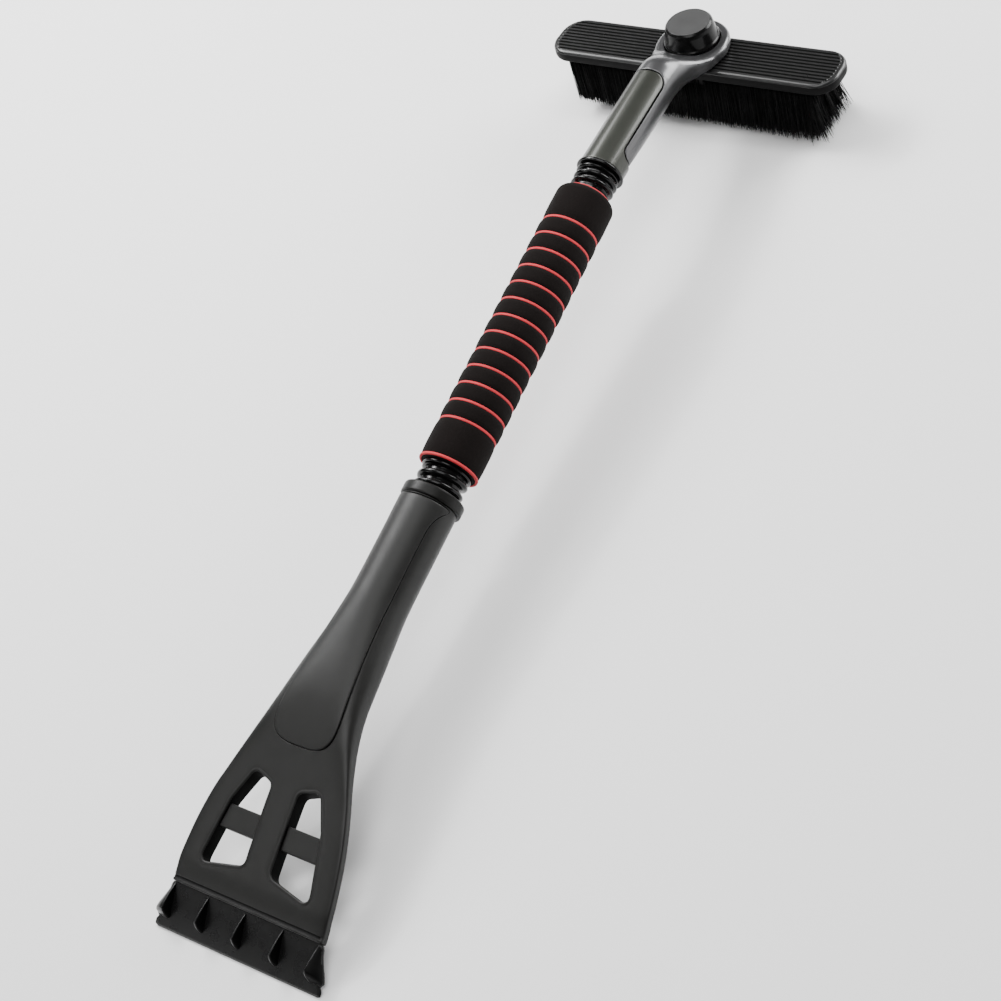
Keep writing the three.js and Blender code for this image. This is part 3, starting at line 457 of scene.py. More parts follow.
foam_line = [(-LOWER_END + 0.2, FOAM_BORE_R), (-LOWER_END + 0.2, GRIP_R - RING),
             (-LOWER_END + RING, GRIP_R - RING), (-LOWER_END + RING, GRIP_R - 0.4)]
start = -LOWER_END + RING
for x in stripe_x:
    end = x - STRIPE_HALF
    foam_line += [*bulge(start, end, SEGMENT_ROWS), (end, STRIPE_BED_R),
                  (end + 2 * STRIPE_HALF, STRIPE_BED_R)]
    start = x + STRIPE_HALF
last = bulge(start, UPPER_END - SHOULDER, SEGMENT_ROWS)
foam_line += [*last[:9], (UPPER_END - SHOULDER, SHOULDER_R)]
foam_line += [(UPPER_END - 1.2 - 4.8 * (1 - math.sin(a)), SHOULDER_R - 4.2 * (1 - math.cos(a)))
              for a in np.linspace(0.2, math.pi / 2, 8)]
foam_line += [(UPPER_END - 1.6, FOAM_BORE_R)]
points, faces = turned(foam_line, 128)
swell = 1 + 0.0035 * np.sin(points[:, 0] * 0.11 + np.arctan2(points[:, 2], points[:, 1]) * 2)
points[:, 1:] *= np.minimum(swell, 1.0)[:, None]
foam = make("foam_sleeve", points, faces, POLE, "handle", [FOAM], ["foam_grip"], "foam", sharp=50)


def red_ring(name, corners, node):
    make(name, *turned(rounded(corners)), POLE, "handle", [STRIPE], [node], "stripe_red")


half = STRIPE_HALF - 0.06
for i, x in enumerate(stripe_x):
    red_ring(f"stripe_ring_{i + 1:02d}", [
        (x - half, STRIPE_BED_R - 0.5, 0), (x - half, GRIP_R - 0.6, 0.5),
        (x + half, GRIP_R - 0.6, 0.5), (x + half, STRIPE_BED_R - 0.5, 0)], f"grip_stripe_{i + 1:02d}")
ring_top = -LOWER_END + RING - 0.15
red_ring("end_ring_lower", [
    (-LOWER_END, GRIP_R - RING + 0.1, 0.4), (-LOWER_END, GRIP_R - 0.05, 1.1),
    (ring_top, GRIP_R - 0.1, 0.4), (ring_top, GRIP_R - RING + 0.1, 0)], "grip_end_ring_lower")
red_ring("end_ring_upper", [
    (UPPER_END - 1.5, FOAM_BORE_R + 0.3, 0), (UPPER_END - 1.5, FOAM_BORE_R + 1.9, 0),
    (UPPER_END, FOAM_BORE_R + 1.7, 0.6), (UPPER_END, FOAM_BORE_R + 0.3, 0.4)], "grip_end_ring_upper")

# ------------------------------------------------------------------ threads


PLUG_SIDES = 96
ROWS_PER_TURN = 26


def thread(x0, x1, root, crest, pitch, taper=0.0, fade=1.5):
    """Outer rows of a right-hand thread about X as an array of rows by sides by 3."""
    count = int((x1 - x0) / pitch * ROWS_PER_TURN) + 2
    x = np.linspace(x0, x1, count)[:, None]
    angle = full_turn(PLUG_SIDES)[None]
    phase = np.abs((x / pitch - angle / (2 * np.pi)) % 1 - 0.5)
    ridge = np.sqrt(np.clip(1 - (phase / 0.34) ** 2, 0, 1))
    ends = np.clip(np.minimum(x - x0, x1 - x) / fade, 0, 1)
    radius = root + (crest - root) * ridge * ends - taper * (x1 - x) / (x1 - x0)
    return around_x(x, radius, angle)


def threaded_piece(name, parts, bore, replaces):
    """A plug from thread rows and plain [x, radius] rows in rising x, closed by its bore."""
    angle = full_turn(PLUG_SIDES)
    rows = [around_x(*part, angle)[None] if isinstance(part, tuple) else part for part in parts]
    ends = rows[-1][-1][0, 0], rows[0][0][0, 0]
    rows += [around_x(x, bore, angle)[None] for x in ends]
    grid = np.vstack(rows)
    make(name, grid.reshape(-1, 3), grid_faces(len(grid), PLUG_SIDES, True, True), POLE, "handle",
         [GLOSS], replaces, "gloss_black", sharp=60)


LOWER_PITCH = 6.5
UPPER_PITCH = 4.8
FLANGE = -LOWER_END - 0.3  # the side of the lower plug's flange that meets the foam
COLLAR_TOP = -114.6
threaded_piece("lower_plug", [
    thread(-138, COLLAR_TOP - 0.4, 11.9, 14.25, LOWER_PITCH, fade=0.8),
    thread(COLLAR_TOP - 0.3, FLANGE - 2.4, 12.2, 15.3, LOWER_PITCH, fade=0.8), (FLANGE - 2.3, 12.6),
    (FLANGE - 2.2, 15.0), (FLANGE - 1.9, 15.4), (FLANGE - 0.3, 15.4), (FLANGE, 15.0), (FLANGE, 12.9),
    (-96.2, 12.9), (-96.2, 11.2), (-65, 11.2)], 8, ["lower_thread_plug"])
threaded_piece("upper_plug", [
    (65, 11.2), (101.5, 11.2), (101.6, 11.4), thread(101.8, 115.7, 11.7, 14.1, UPPER_PITCH, taper=0.6),
    (115.8, 11.8), (115.8, 8.5), thread(116, 132.3, 8.5, 9.45, UPPER_PITCH)], 5.5, ["upper_thread_plug"])

# ------------------------------------------------------------------ scraper body

COLLAR_END = -121.8
BODY_START = -369
BODY_END = -122.1
FRONT_ROUND = 1.0
SECTIONS = [  # x, half width, middle height, half height, squareness
    (-369, 52.8, -21.6, 4.0, 8), (-355, 52.5, -16.9, 4.0, 8), (-344, 51.4, -13.9, 4.05, 8),
    (-334, 50.0, -11.2, 4.1, 8), (-323, 47.9, -8.4, 4.1, 8), (-313, 45.4, -5.9, 4.1, 7.8),
    (-302, 41.9, -3.5, 4.2, 7.2), (-292, 38.4, -1.1, 4.8, 6.2), (-281, 34.6, 1.0, 6.3, 5.0),
    (-271, 31.4, 2.5, 8.3, 4.0), (-260, 28.6, 3.5, 10.2, 3.3), (-250, 26.6, 3.8, 11.7, 2.9),
    (-239, 25.0, 3.4, 13.2, 2.6), (-228, 23.5, 2.7, 14.5, 2.4), (-218, 21.9, 2.0, 15.5, 2.3),
    (-208, 20.3, 1.4, 16.4, 2.2), (-197, 18.8, 1.0, 17.0, 2.1), (-187, 17.9, 0.7, 17.4, 2),
    (-176, 17.5, 0.6, 17.4, 2), (-165, 17.4, 0.6, 17.4, 2), (-100, 17.4, 0.6, 17.4, 2)]
WINDOW = [(-302.6, 9.6, 4.2), (-298.6, 22.5, 4.2), (-318, 31.2, 4.2), (-354.6, 38.4, 4.2),
          (-348.2, 9.2, 4.2)]
TONGUE_SIDE = [(-279.5, 21.2), (-262, 20.8), (-244, 19.1), (-220, 16.4), (-196, 14.3), (-170, 13.5),
               (-147, 13.4), (-135.5, 14.0), (-129, 15.6), (-126, 16.6), (-123.2, 16.9)]


class Shell:
    """The body's outside as a map from x and the distance v round the section to a point."""

    def __init__(self):
        fine = BODY_START + FRONT_ROUND * (1 - np.cos(np.linspace(0, np.pi / 2, 8)))
        self.x = np.concatenate([fine, np.arange(BODY_START + 2, BODY_END, 2), [BODY_END]])
        width, self.middle, height, square = eased(SECTIONS, self.x)
        into = np.clip(1 - (self.x - BODY_START) / FRONT_ROUND, 0, 1)
        inset = FRONT_ROUND * (1 - np.sqrt(1 - into**2))
        angle = np.linspace(0, np.pi / 2, 500)[None]
        power = (2 / square)[:, None]
        y = (width - inset)[:, None] * np.sin(angle) ** power
        z = (height - inset)[:, None] * np.cos(angle) ** power
        along = np.cumsum(np.hypot(np.diff(y, prepend=0, axis=1), np.diff(z, axis=1,
                          prepend=z[:, :1])), axis=1)
        self.length = along[:, -1]
        self.share = np.linspace(0, 1, 161)
        self.y = np.array([np.interp(self.share * a[-1], a, b) for a, b in zip(along, y)])
        self.z = np.array([np.interp(self.share * a[-1], a, b) for a, b in zip(along, z)])

    def reach(self, x):
        """Distance round the section from its top to its side."""
        return np.interp(x, self.x, self.length)

    def around(self, x, y):
        """The v of the point at x and y on the section."""
        i, t = self.row(x)
        before, after = [np.array([np.interp(abs(b), self.y[a], self.share) for a, b in zip(row, y)])
                         for row in (i, i + 1)]
        return np.sign(y) * (before * (1 - t) + after * t) * self.reach(x)

    def row(self, x):
        """The section before x, and how far x is towards the next one."""
        i = np.clip(np.searchsorted(self.x, x) - 1, 0, len(self.x) - 2)
        return i, np.clip((x - self.x[i]) / (self.x[i + 1] - self.x[i]), 0, 1)

    def point(self, x, v, half):
        """Points at x and v on the upper (half 1) or lower (half -1) side."""
        i, t = self.row(x)
        u = np.clip(np.abs(v) / self.reach(x), 0, 1) * (len(self.share) - 1)
        j = np.minimum(u.astype(int), len(self.share) - 2)
        s = u - j

        def read(table):
            low = table[i, j] * (1 - s) + table[i, j + 1] * s
            high = table[i + 1, j] * (1 - s) + table[i + 1, j + 1] * s
            return low * (1 - t) + high * t
        z = read(self.z) * half + np.interp(x, self.x, self.middle)
        return np.column_stack([x, np.sign(v) * read(self.y), z])

    def raised(self, x, v, half, height):
        """The same, moved out of the surface by height."""
        d = 0.3
        reach = self.reach(x) - 1e-3
        across = self.point(x, np.clip(v + d, -reach, reach), half) \
            - self.point(x, np.clip(v - d, -reach, reach), half)
        span = np.clip(x + d, BODY_START + 1, BODY_END), np.clip(x - d, BODY_START + 1, BODY_END)
        share = v / reach
        lengthways = self.point(span[0], share * self.reach(span[0]), half) \
            - self.point(span[1], share * self.reach(span[1]), half)
        normal = np.cross(lengthways, across) * half
        normal /= np.maximum(np.linalg.norm(normal, axis=1), 1e-9)[:, None]
        return self.point(x, v, half) + normal * np.asarray(height)[:, None]


shell = Shell()


def on_shell(loop):
    """A loop of x and y as a loop of x and v."""
    return np.column_stack([loop[:, 0], shell.around(loop[:, 0], loop[:, 1])])


def tongue_outline():
    """The raised tongue's outline as x and y, closed."""
    x = np.linspace(-123.2, -262, 120)
    sides = np.column_stack([x, eased(TONGUE_SIDE, x)[0]])
    angle = np.linspace(0, np.pi / 2, 40)[1:]
    end = np.column_stack([-262 - 17.5 * np.sin(angle) ** (2 / 3.2), 20.8 * np.cos(angle) ** (2 / 3.2)])
    half = np.vstack([sides, end])
    return np.vstack([half, (half * (1, -1))[::-1][1:]])


def grown(loop, distance):
    return loop + outward(loop) * distance


tongue_loop = resampled(on_shell(tongue_outline()), 1.3)
window_loops = [resampled(on_shell(rounded([(x, y * hand, r) for x, y, r in WINDOW], 8)), 1.1)
                for hand in (1, -1)]

WINDOW_DRAFT = 1.6  # a window's sides come in by this towards the underside
WINDOW_INNER = 9.4  # from the middle of the body to a window


def window_below(loop):
    """A window's outline on the underside."""
    x, v = loop.T
    far_x, far_y, _ = zip(*sorted(WINDOW[1:4]))
    outer = np.interp(x, far_x, far_y)
    middle = (WINDOW_INNER + outer) / 2 * np.sign(v)
    return np.column_stack([x, middle + (v - middle) * (1 - 2 * WINDOW_DRAFT / (outer - WINDOW_INNER))])


# distance out from a window's edge or the tongue's outline, and height over the body
WINDOW_LIP = [(0.12, -0.5), (0.35, -0.12), (0.7, 0.1), (1.2, 0.14), (1.7, 0.02), (2.0, -0.1), (2.4, 0)]
WINDOW_EDGE = -1.0
GROOVE = [(0.25, -1.5), (0.28, -0.5), (0.42, -0.18), (0.7, -0.04), (1.1, 0)]
TONGUE_EDGE = [(-0.2, 0.15), (-0.3, 0.45), (-0.55, 0.64), (-1.0, 0.7)]
TONGUE_RISE = 0.7
TONGUE_FLOOR = -1.4
SCREW_HOLES = [  # in the underside: x, y, radius, height of the floor
    (-256, 0, 3.5, -6.2), (-360, 34, 2.9, -21.4), (-360, 0, 2.9, -21.4), (-360, -34, 2.9, -21.4)]
SIDE_ROWS = (0.5, 1.0, 1.5, 2.0, 2.5, 3.0, 3.5, 4.0, 4.6, 5.4, 6.6, 8)  # distances in from the side
SIDE_ROWS_END = -230

front_reach = shell.reach(BODY_START)
front = np.linspace(-1, 1, 91)
front = np.sign(front) * np.abs(front) ** 0.8 * front_reach
sides_x = shell.x[1:-1]
back = np.linspace(-1, 1, 45) * shell.reach(BODY_END)
body_outline = np.vstack([
    np.column_stack([np.full(len(front), BODY_START), front]),
    np.column_stack([sides_x, shell.reach(sides_x)]),
    np.column_stack([np.full(len(back), BODY_END), back[::-1]]),
    np.column_stack([sides_x, -shell.reach(sides_x)])[::-1]])

side_rows = np.array([(x, hand * (reach - d)) for d in SIDE_ROWS
                      for x, reach in zip(sides_x, shell.reach(sides_x)) for hand in (1, -1)
                      if x < SIDE_ROWS_END])

STEP_BEAD = [(0, 0), (1.0, 0.03), (1.5, 0.02), (1.9, -0.16), (2.3, -0.42), (2.7, -0.42), (3.1, -0.14),
             (3.6, 0), (4.2, 0)]  # from the front edge, and height
bead_rows = [(BODY_START + d, v) for d, _ in STEP_BEAD[1:]
             for v in np.linspace(-1, 1, 90) * (front_reach - 1.5)]


def body_half(half):
    """Points, faces and marked lines of the body's upper or lower side."""
    features, heights = [], []
    holes = list(window_loops) if half > 0 else [window_below(loop) for loop in window_loops]
    hole_heights = [WINDOW_EDGE] * len(holes)

    def mark(loop, lines):
        """Lines of points at distances out from a loop, with their heights."""
        for distance, height in lines:
            features.append(grown(loop, distance))
            heights.append(height)

    for loop in list(holes):
        mark(loop, WINDOW_LIP)
    if half > 0:
        mark(tongue_loop, GROOVE)
    else:
        angle = full_turn(28)
        for x, y, r, _ in SCREW_HOLES:
            loop = on_shell(np.column_stack([x + r * np.cos(angle), y + r * np.sin(angle)]))
            holes.append(loop)
            hole_heights.append(-0.3)
            mark(loop, [(0.35, 0)])
    rows = np.vstack([side_rows, bead_rows]) if half > 0 else side_rows
    flat, triangles, starts = triangulated(body_outline, holes, features, 2.2, rows)
    height = np.zeros(len(flat))
    if half > 0:
        height = np.interp(flat[:, 0] - BODY_START, *np.array(STEP_BEAD).T)
        height[inside(flat, grown(tongue_loop, GROOVE[0][0] - 0.01))] = GROOVE[0][1]
    sizes = np.diff(starts)
    for i, value in enumerate([0, *hole_heights, *heights]):
        height[starts[i]:starts[i] + sizes[i]] = value
    points = shell.raised(flat[:, 0], flat[:, 1], half, height)
    outline = range(starts[0], starts[1])
    points[outline] = shell.point(*flat[outline].T, half)
    hole_rings = [np.arange(starts[i + 1], starts[i + 2]) for i in range(len(holes))]
    return points, triangles, hole_rings


TANG_SLOT_HALF = 46.5
TANG_SLOT_MIDDLE = -22.1
BACK_ROWS = (  # x and radius: under the collar, round the socket's mouth and down its bore
    (BODY_END + 0.1, 17.0), (BODY_END + 0.15, 15.8), (COLLAR_TOP - 0.2, 15.8), (COLLAR_TOP, 15.6),
    (COLLAR_TOP, 14.85), (COLLAR_TOP - 0.6, 14.65), (-140, 14.65), (-140, 9.5))


def build_body():
    """The hollowed moulding: two halves, window walls, screw holes, the blade's slot, the socket."""
    top, top_faces, top_rings = body_half(1)
    bottom, bottom_faces, bottom_rings = body_half(-1)
    points = [top, bottom]
    faces = [*top_faces, *(bottom_faces + len(top))]
    count = len(top) + len(bottom)

    def add(new):
        nonlocal count
        points.append(new)
        count += len(new)
        return np.arange(count - len(new), count)

    for a, b in zip(top_rings, bottom_rings[:len(top_rings)]):
        faces += list(strip(a, b + len(top)))
    for (*_, floor_z), ring in zip(SCREW_HOLES, bottom_rings[len(top_rings):]):
        seat = bottom[ring].copy()
        seat[:, 2] = floor_z
        deep = add(seat)
        faces += list(strip(ring + len(top), deep))
        faces.append(list(deep[::-1]))
    # front end: a slot for the blade's tang between the two front edges
    n = len(front)
    y = top[:n, 1]
    in_slot = np.abs(y) < TANG_SLOT_HALF
    columns = [np.arange(n)]
    for z, depth in ((1.6, 0), (1.6, 2.5), (-1.6, 2.5), (-1.6, 0)):
        columns.append(add(np.column_stack([BODY_START + depth * in_slot, y,
                                            np.full(n, TANG_SLOT_MIDDLE + z)])))
    columns.append(np.arange(n) + len(top))
    for a, b in zip(columns, columns[1:]):
        faces += list(strip(a, b, closed=False))
    # back end: a spigot under the collar, then the socket's bore
    k = n + len(sides_x)
    over = np.arange(k, k + len(back))
    under = over[::-1][1:-1]
    ring_ids = np.concatenate([over, under + len(top)])
    unit = np.vstack([top[over], bottom[under]])[:, 1:]
    unit = unit / np.linalg.norm(unit, axis=1)[:, None]
    for x, r in BACK_ROWS:
        new = add(np.column_stack([np.full(len(unit), x), unit * r]))
        faces += list(strip(ring_ids, new))
        ring_ids = new
    faces.append(list(ring_ids))
    return np.vstack(points), faces


# The groove behind the step and the windows' walls get painted shade within these spans.
STEP_GROOVE = 1.5, 3.1  # where the groove behind the step starts and ends, from the front edge
WINDOWS_SPAN = -358, -296


def painted_shade_on_body(p):
    """Whether a face of the body gets painted shade: a window's wall or the groove behind the step."""
    width, middle, height = [np.interp(p.x, *np.array([(s[0], s[k]) for s in SECTIONS]).T)
                             for k in (1, 2, 3)]
    if STEP_GROOVE[0] < p.x - BODY_START < STEP_GROOVE[1]:
        return int(p.z > middle and abs(p.y) < width - 1.5)
    between = WINDOWS_SPAN[0] < p.x < WINDOWS_SPAN[1] and abs(p.y) < width - 8
    return int(between and abs(p.z - middle) < height - 0.8)


# The body's window walls and the groove behind the step are painted with shade.
make("scraper_shell", *build_body(), POLE, "scraper", [BLACK, PAINTED_SHADE], ["scraper_body"],
     "black_plastic", sharp=40, material_of=painted_shade_on_body)


def build_tongue():
    """The tongue's top, edge and underside, from the tongue's outline."""
    outline = grown(tongue_loop, TONGUE_EDGE[0][0])
    features = [grown(tongue_loop, distance) for distance, _ in TONGUE_EDGE[1:]]
    flat, triangles, starts = triangulated(outline, [], features, 2.2)
    height = np.full(len(flat), TONGUE_RISE)
    for i, (_, value) in enumerate(TONGUE_EDGE):
        height[starts[i]:starts[i + 1]] = value
    top = shell.raised(flat[:, 0], flat[:, 1], 1, height)
    under = shell.raised(flat[:, 0], flat[:, 1], 1, np.full(len(flat), TONGUE_FLOOR))
    ring = np.arange(starts[0], starts[1])
    faces = [*triangles, *(triangles + len(top)), *strip(ring, ring + len(top))]
    return np.vstack([top, under]), faces


make("tongue_cover", *build_tongue(), POLE, "scraper", [TONGUE], ["scraper_tongue"], "black_plastic",
     sharp=50)


BAR_LOW, BAR_HIGH, BAR_THICK, BAR_EDGE = -333.2, -319.8, 3.4, 0.8
BAR_INNER, BAR_OUTER = 8.4, 36.5
BAR_SUNK = 2  # its top is this far below the body's


def build_crossbar(hand):
    """Bar across one window: a rounded plank that follows the body's slope."""
    section = resampled(rounded([
        (BAR_LOW, 0, BAR_EDGE), (BAR_HIGH, 0, BAR_EDGE), (BAR_HIGH, -BAR_THICK, BAR_EDGE),
        (BAR_LOW, -BAR_THICK, BAR_EDGE)], 5), 0.8)
    rows = []
    for y in np.linspace(BAR_INNER, BAR_OUTER, 15):
        x = section[:, 0]
        top = shell.point(x, shell.around(x, np.full(len(x), y)), 1)[:, 2]
        rows.append(np.column_stack([x, np.full(len(x), y * hand), top - BAR_SUNK + section[:, 1]]))
    return lofted(rows)


for hand, word in ((1, "left"), (-1, "right")):
    make(f"window_bar_{word}", *build_crossbar(hand), POLE, "scraper", [BLACK], (), "black_plastic",
         sharp=40)

COLLAR_BORE_R, COLLAR_R, COLLAR_ROUND = 16.1, 18.95, 2.75
collar = rounded([(COLLAR_END, COLLAR_BORE_R, 0.2), (COLLAR_END, COLLAR_R, COLLAR_ROUND),
                  (COLLAR_TOP, COLLAR_R, COLLAR_ROUND), (COLLAR_TOP, COLLAR_BORE_R, 0.6)], 10)
make("socket_ring", *turned(collar, 128), POLE, "lower_ring", [COLLAR], ["socket_collar"],
     "black_plastic")

# ------------------------------------------------------------------ blade

EDGE_X = -394.1
EDGE_Z = -32.1
TOP_AT_STEP = -20.6
BOTTOM_AT_STEP = -23.6
EDGE_THICK = 1.2
BLADE_HALF = [  # x, half width: the edge, the ear, the notch and the tang
    (-394.1, 56.8), (-393.6, 58.1), (-392.4, 58.8), (-390.6, 58.6), (-389.4, 57.7), (-388.9, 57.4),
    (-388.3, 57.9), (-386.6, 59.2), (-384, 58.6), (-380, 56.7), (-374, 54.2), (-369, 52.6),
    (-368.6, 46), (-366, 46)]


def blade_top(x):
    slope = (EDGE_Z - TOP_AT_STEP) / (EDGE_X - BODY_START)
    share = np.clip((BODY_START - x) / (BODY_START - EDGE_X), 0, 1)
    return TOP_AT_STEP + (x - BODY_START) * slope + 0.5 * np.sin(np.pi * share)


def blade_bottom(x):
    fall = EDGE_Z - EDGE_THICK - BOTTOM_AT_STEP
    return BOTTOM_AT_STEP + (x - BODY_START) * fall / (EDGE_X - BODY_START)


def build_blade():
    """The blade's sloping plate with rolled edges: one closed grid round the section."""
    xs = np.array([-394.1, -393.9, -393.5, -392.9, -392.2, -391.4, -390.6, -390, -389.4, -388.9,
                   -388.4, -387.9, -387.3, -386.6, -385.6, -384.5, -383, -380, -377, -374, -371, -369.3,
                   -368.9, -368.7, -366])
    half = eased(BLADE_HALF, xs)[0]
    across = np.sin(np.linspace(-np.pi / 2, np.pi / 2, 61))
    rim = np.array([0, 0.08, 0.25, 0.55, 1.0])
    rows = []
    for x, w in zip(xs, half):
        y = np.concatenate([-w + rim, across[4:-4] * (w - 1.6), (w - rim)[::-1]])
        edge = np.clip(1 - (w - np.abs(y)) / 1.0, 0, 1)
        roll = 0.9 * (1 - np.sqrt(1 - edge**2))
        nose = 0.5 * (1 - math.sqrt(1 - np.clip(1 - (x - EDGE_X) / 0.7, 0, 1) ** 2))
        limit = (blade_top(x) - blade_bottom(x)) / 2 - 0.06
        drop = np.minimum(roll + nose, limit)
        upper = np.column_stack([np.full(len(y), x), y, blade_top(x) - drop])
        lower = np.column_stack([np.full(len(y), x), y, blade_bottom(x) + np.minimum(drop, limit)])
        rows.append(np.vstack([upper, lower[::-1]]))
    grid = np.vstack(rows)
    n = len(rows[0])
    faces = [*grid_faces(len(rows), n, False, True)]
    m = n // 2
    for base in (0, len(grid) - n):
        faces += [[base + i, base + i + 1, base + n - 2 - i, base + n - 1 - i] for i in range(m - 1)]
    return grid, faces


TOOTH = [  # x, height share of the crest, half width at the base
    (-369.4, 0.0, 0.4), (-371, 0.1, 0.6), (-375, 0.38, 1.0), (-380, 0.71, 1.4), (-384, 0.95, 1.75),
    (-385.4, 1.0, 1.85), (-386.3, 0.93, 1.9), (-387.2, 0.78, 1.8), (-387.9, 0.56, 1.55),
    (-388.4, 0.28, 1.15), (-388.7, 0.0, 0.6)]
TOOTH_HEIGHT = 8.5
TOOTH_Y = (-50.7, -26.3, 0, 26.3, 50.7)
FIN_SIDE = [(1, 0), (0.93, 0.12), (0.83, 0.35), (0.7, 0.6), (0.55, 0.82), (0.46, 0.92), (0.35, 0.975),
            (0.2, 0.995)]  # shares of the half width and of the height, up one side
FIN_OUTSIDE = [(1, 0), (0.99, 0.12), (0.95, 0.28), (0.86, 0.45), (0.68, 0.66), (0.44, 0.83),
               (0.22, 0.94), (0.08, 0.99)]


def build_tooth(y0):
    """One ice-breaking fin; the outer side of an outer one spreads to the blade's side."""
    spread = abs(y0) > 40
    rows = []
    for x in np.concatenate([np.linspace(-369.4, -384, 16), np.linspace(-384.6, -388.7, 15)]):
        height, base = eased(sorted(TOOTH), x)
        outer = (eased(BLADE_HALF, x)[0] - 0.3 - abs(y0)) * np.clip((389 + x) / 1.8, 0.01, 1) ** 0.5
        row = []
        for hand in (1, -1):
            out = spread and hand * y0 > 0
            side = [(max(outer, base) * a if out else base * a, b)
                    for a, b in (FIN_OUTSIDE if out else FIN_SIDE)]
            side = [(x, y0 + hand * a, blade_top(x) - 0.9 + (TOOTH_HEIGHT * height + 0.9) * b)
                    for a, b in side]
            row += side if hand > 0 else [(x, y0, blade_top(x) + TOOTH_HEIGHT * height), *side[::-1]]
        row.append((x, y0, blade_top(x) - 1.3))
        rows.append(row)
    return lofted(rows)


def painted_shade_on_blade(p):
    """Whether a face of the blade is on a tooth's side that faces away from the lamps, which gets painted
    shade.
    """
    return int(p.z > blade_top(p.x) + 0.25 and any(-9 < p.y - y < -0.2 for y in TOOTH_Y))


make("toothed_blade", *joined(build_blade(), *[build_tooth(y) for y in TOOTH_Y]), POLE, "scraper",
     [BLADE, PAINTED_SHADE], ["scraper_blade"], "blade_plastic", sharp=55, material_of=painted_shade_on_blade)

# ------------------------------------------------------------------ arm and swivel ring

HEAD_TILT = math.acos(min(1, pole_x.cross(side).dot(swivel_z)))  # between the pole and the ring
RISE = HEAD_TILT - ARM_SLOPE  # between the arm and the ring
socket = HEAD.inverted() @ (POLE @ Vector((ARM_START, 0, 0)))
ARM_R = 14.2
RING_R = 24
RING_THICK = 7.8
RING_EDGE = 2.8
NECK = [  # distance from the swivel axis, half width, top, squareness
    (-60, 14.2, 16.7, 2), (-52, 14.2, 17.6, 2), (-46, 14.3, 17.9, 2), (-40, 14.5, 16.6, 2.1),
    (-34, 15.0, 13.4, 2.3), (-28, 16.6, 8.8, 2.8), (-22, 19.0, 4.2, 3.6), (-16, 21.3, 1.2, 5),
    (-9, 22.6, -0.7, 7), (0, 23.0, -1.6, 8)]
NECK_LOW = -10.9
INLAY_END = 74
INLAY_HALF = ARM_R * math.radians(57)
INLAY_DEPTH = 2.2
INLAY_CORNER = 8.5
SLEEVE_MOUTH = 10  # the sleeve goes all round up to here
SOCKET_R = 10
SOCKET_DEPTH = 16
RECESS_R = 18.5  # under the button
RECESS_FLOOR = -3.6
POST_BORE_R = 14.9
ARM_SCREWS = ((30, -5.7), (60, -9.0))  # distance along the arm, height of the head


def arm_coordinates(x, y, z):
    """Distance along the arm, from its axis, round its outside from the top, and along the pole."""
    dx, dz = x - socket.x, z - socket.z
    along = dx * math.cos(RISE) + dz * math.sin(RISE)
    up = dz * math.cos(RISE) - dx * math.sin(RISE)
    radius = np.hypot(y, up)
    around = ARM_R * np.arctan2(np.abs(y), up)
    pole_along = dx * math.cos(HEAD_TILT) + dz * math.sin(HEAD_TILT)
    pole_radius = np.hypot(y, dz * math.cos(HEAD_TILT) - dx * math.sin(HEAD_TILT))
    return along, radius, around, up, pole_along, pole_radius


def inlay_outline(along, around):
    """Flat distance to the sleeve's outline: the mouth, and the long rounded tongue above it."""
    u = np.maximum(around - (INLAY_HALF - INLAY_CORNER), 0)
    v = np.maximum(along - (INLAY_END - INLAY_CORNER), 0)
    inner = np.minimum(np.maximum(around - INLAY_HALF, along - INLAY_END), 0)
    tongue = np.where((u > 0) | (v > 0), np.hypot(u, v) - INLAY_CORNER, np.minimum(inner, -0.01))
    return rmin(along - SLEEVE_MOUTH, tongue, 5.5)


def arm_field(x, y, z):
    """Distance field of the arm: tube, neck and ring, less its recess, bores and inlay's seat."""
    along, radius, around, up, pole_along, pole_radius = arm_coordinates(x, y, z)
    tube = np.maximum(radius - ARM_R, along - 75)
    width, top, square = eased(NECK, x)
    middle, height = (top + NECK_LOW) / 2, (top - NECK_LOW) / 2
    norm = (np.abs(y / width) ** square + np.abs((z - middle) / height) ** square) ** (1 / square)
    neck = np.maximum((norm - 1) * np.minimum(width, height), np.maximum(-53 - x, x))
    from_axis = np.hypot(x, y)
    ring = rmax(from_axis - RING_R, np.abs(z + RING_THICK / 2) - RING_THICK / 2, RING_EDGE)
    body = np.minimum(tube, rmin(neck, ring, 1.2))
    body = rmax(body, -RING_THICK - z, 1.2)
    body = rmax(body, SLEEVE_MOUTH + 0.3 - along, 0.3)
    body = rmax(body, -np.maximum(from_axis - RECESS_R, RECESS_FLOOR - z), 0.5)
    body = np.maximum(body, POST_BORE_R - from_axis)
    body = np.maximum(body, -np.maximum(pole_radius - SOCKET_R, pole_along - SOCKET_DEPTH))
    seat = np.maximum(inlay_outline(along, around) - 0.7, ARM_R - INLAY_DEPTH - radius)
    body = rmax(body, -seat, 0.35)
    for at, head in ARM_SCREWS:
        hole = np.maximum(np.hypot(along - at, y) - 3.1, up - (head + 1.9))
        body = np.maximum(body, -hole)
    return body


def sleeve_field(x, y, z):
    """Distance field of the sleeve: a mouth all round the arm and a long tongue let into its top."""
    along, radius, around, up, pole_along, pole_radius = arm_coordinates(x, y, z)
    body = rmax(radius - ARM_R - 0.08, inlay_outline(along, around), 0.5)
    body = rmax(body, -pole_along, 0.5)
    body = np.maximum(body, -np.maximum(9.8 - along, radius - (ARM_R - INLAY_DEPTH + 0.25)))
    return np.maximum(body, -np.maximum(pole_radius - (SOCKET_R - 0.1), pole_along - SOCKET_DEPTH))


ARM_STEP = 0.5
ARM_SPAN = (-120, -25, -8.6), (25.2, 25.4, 20)
SLEEVE_SPAN = (-131, -15, -20), (-50, 15.5, 20)


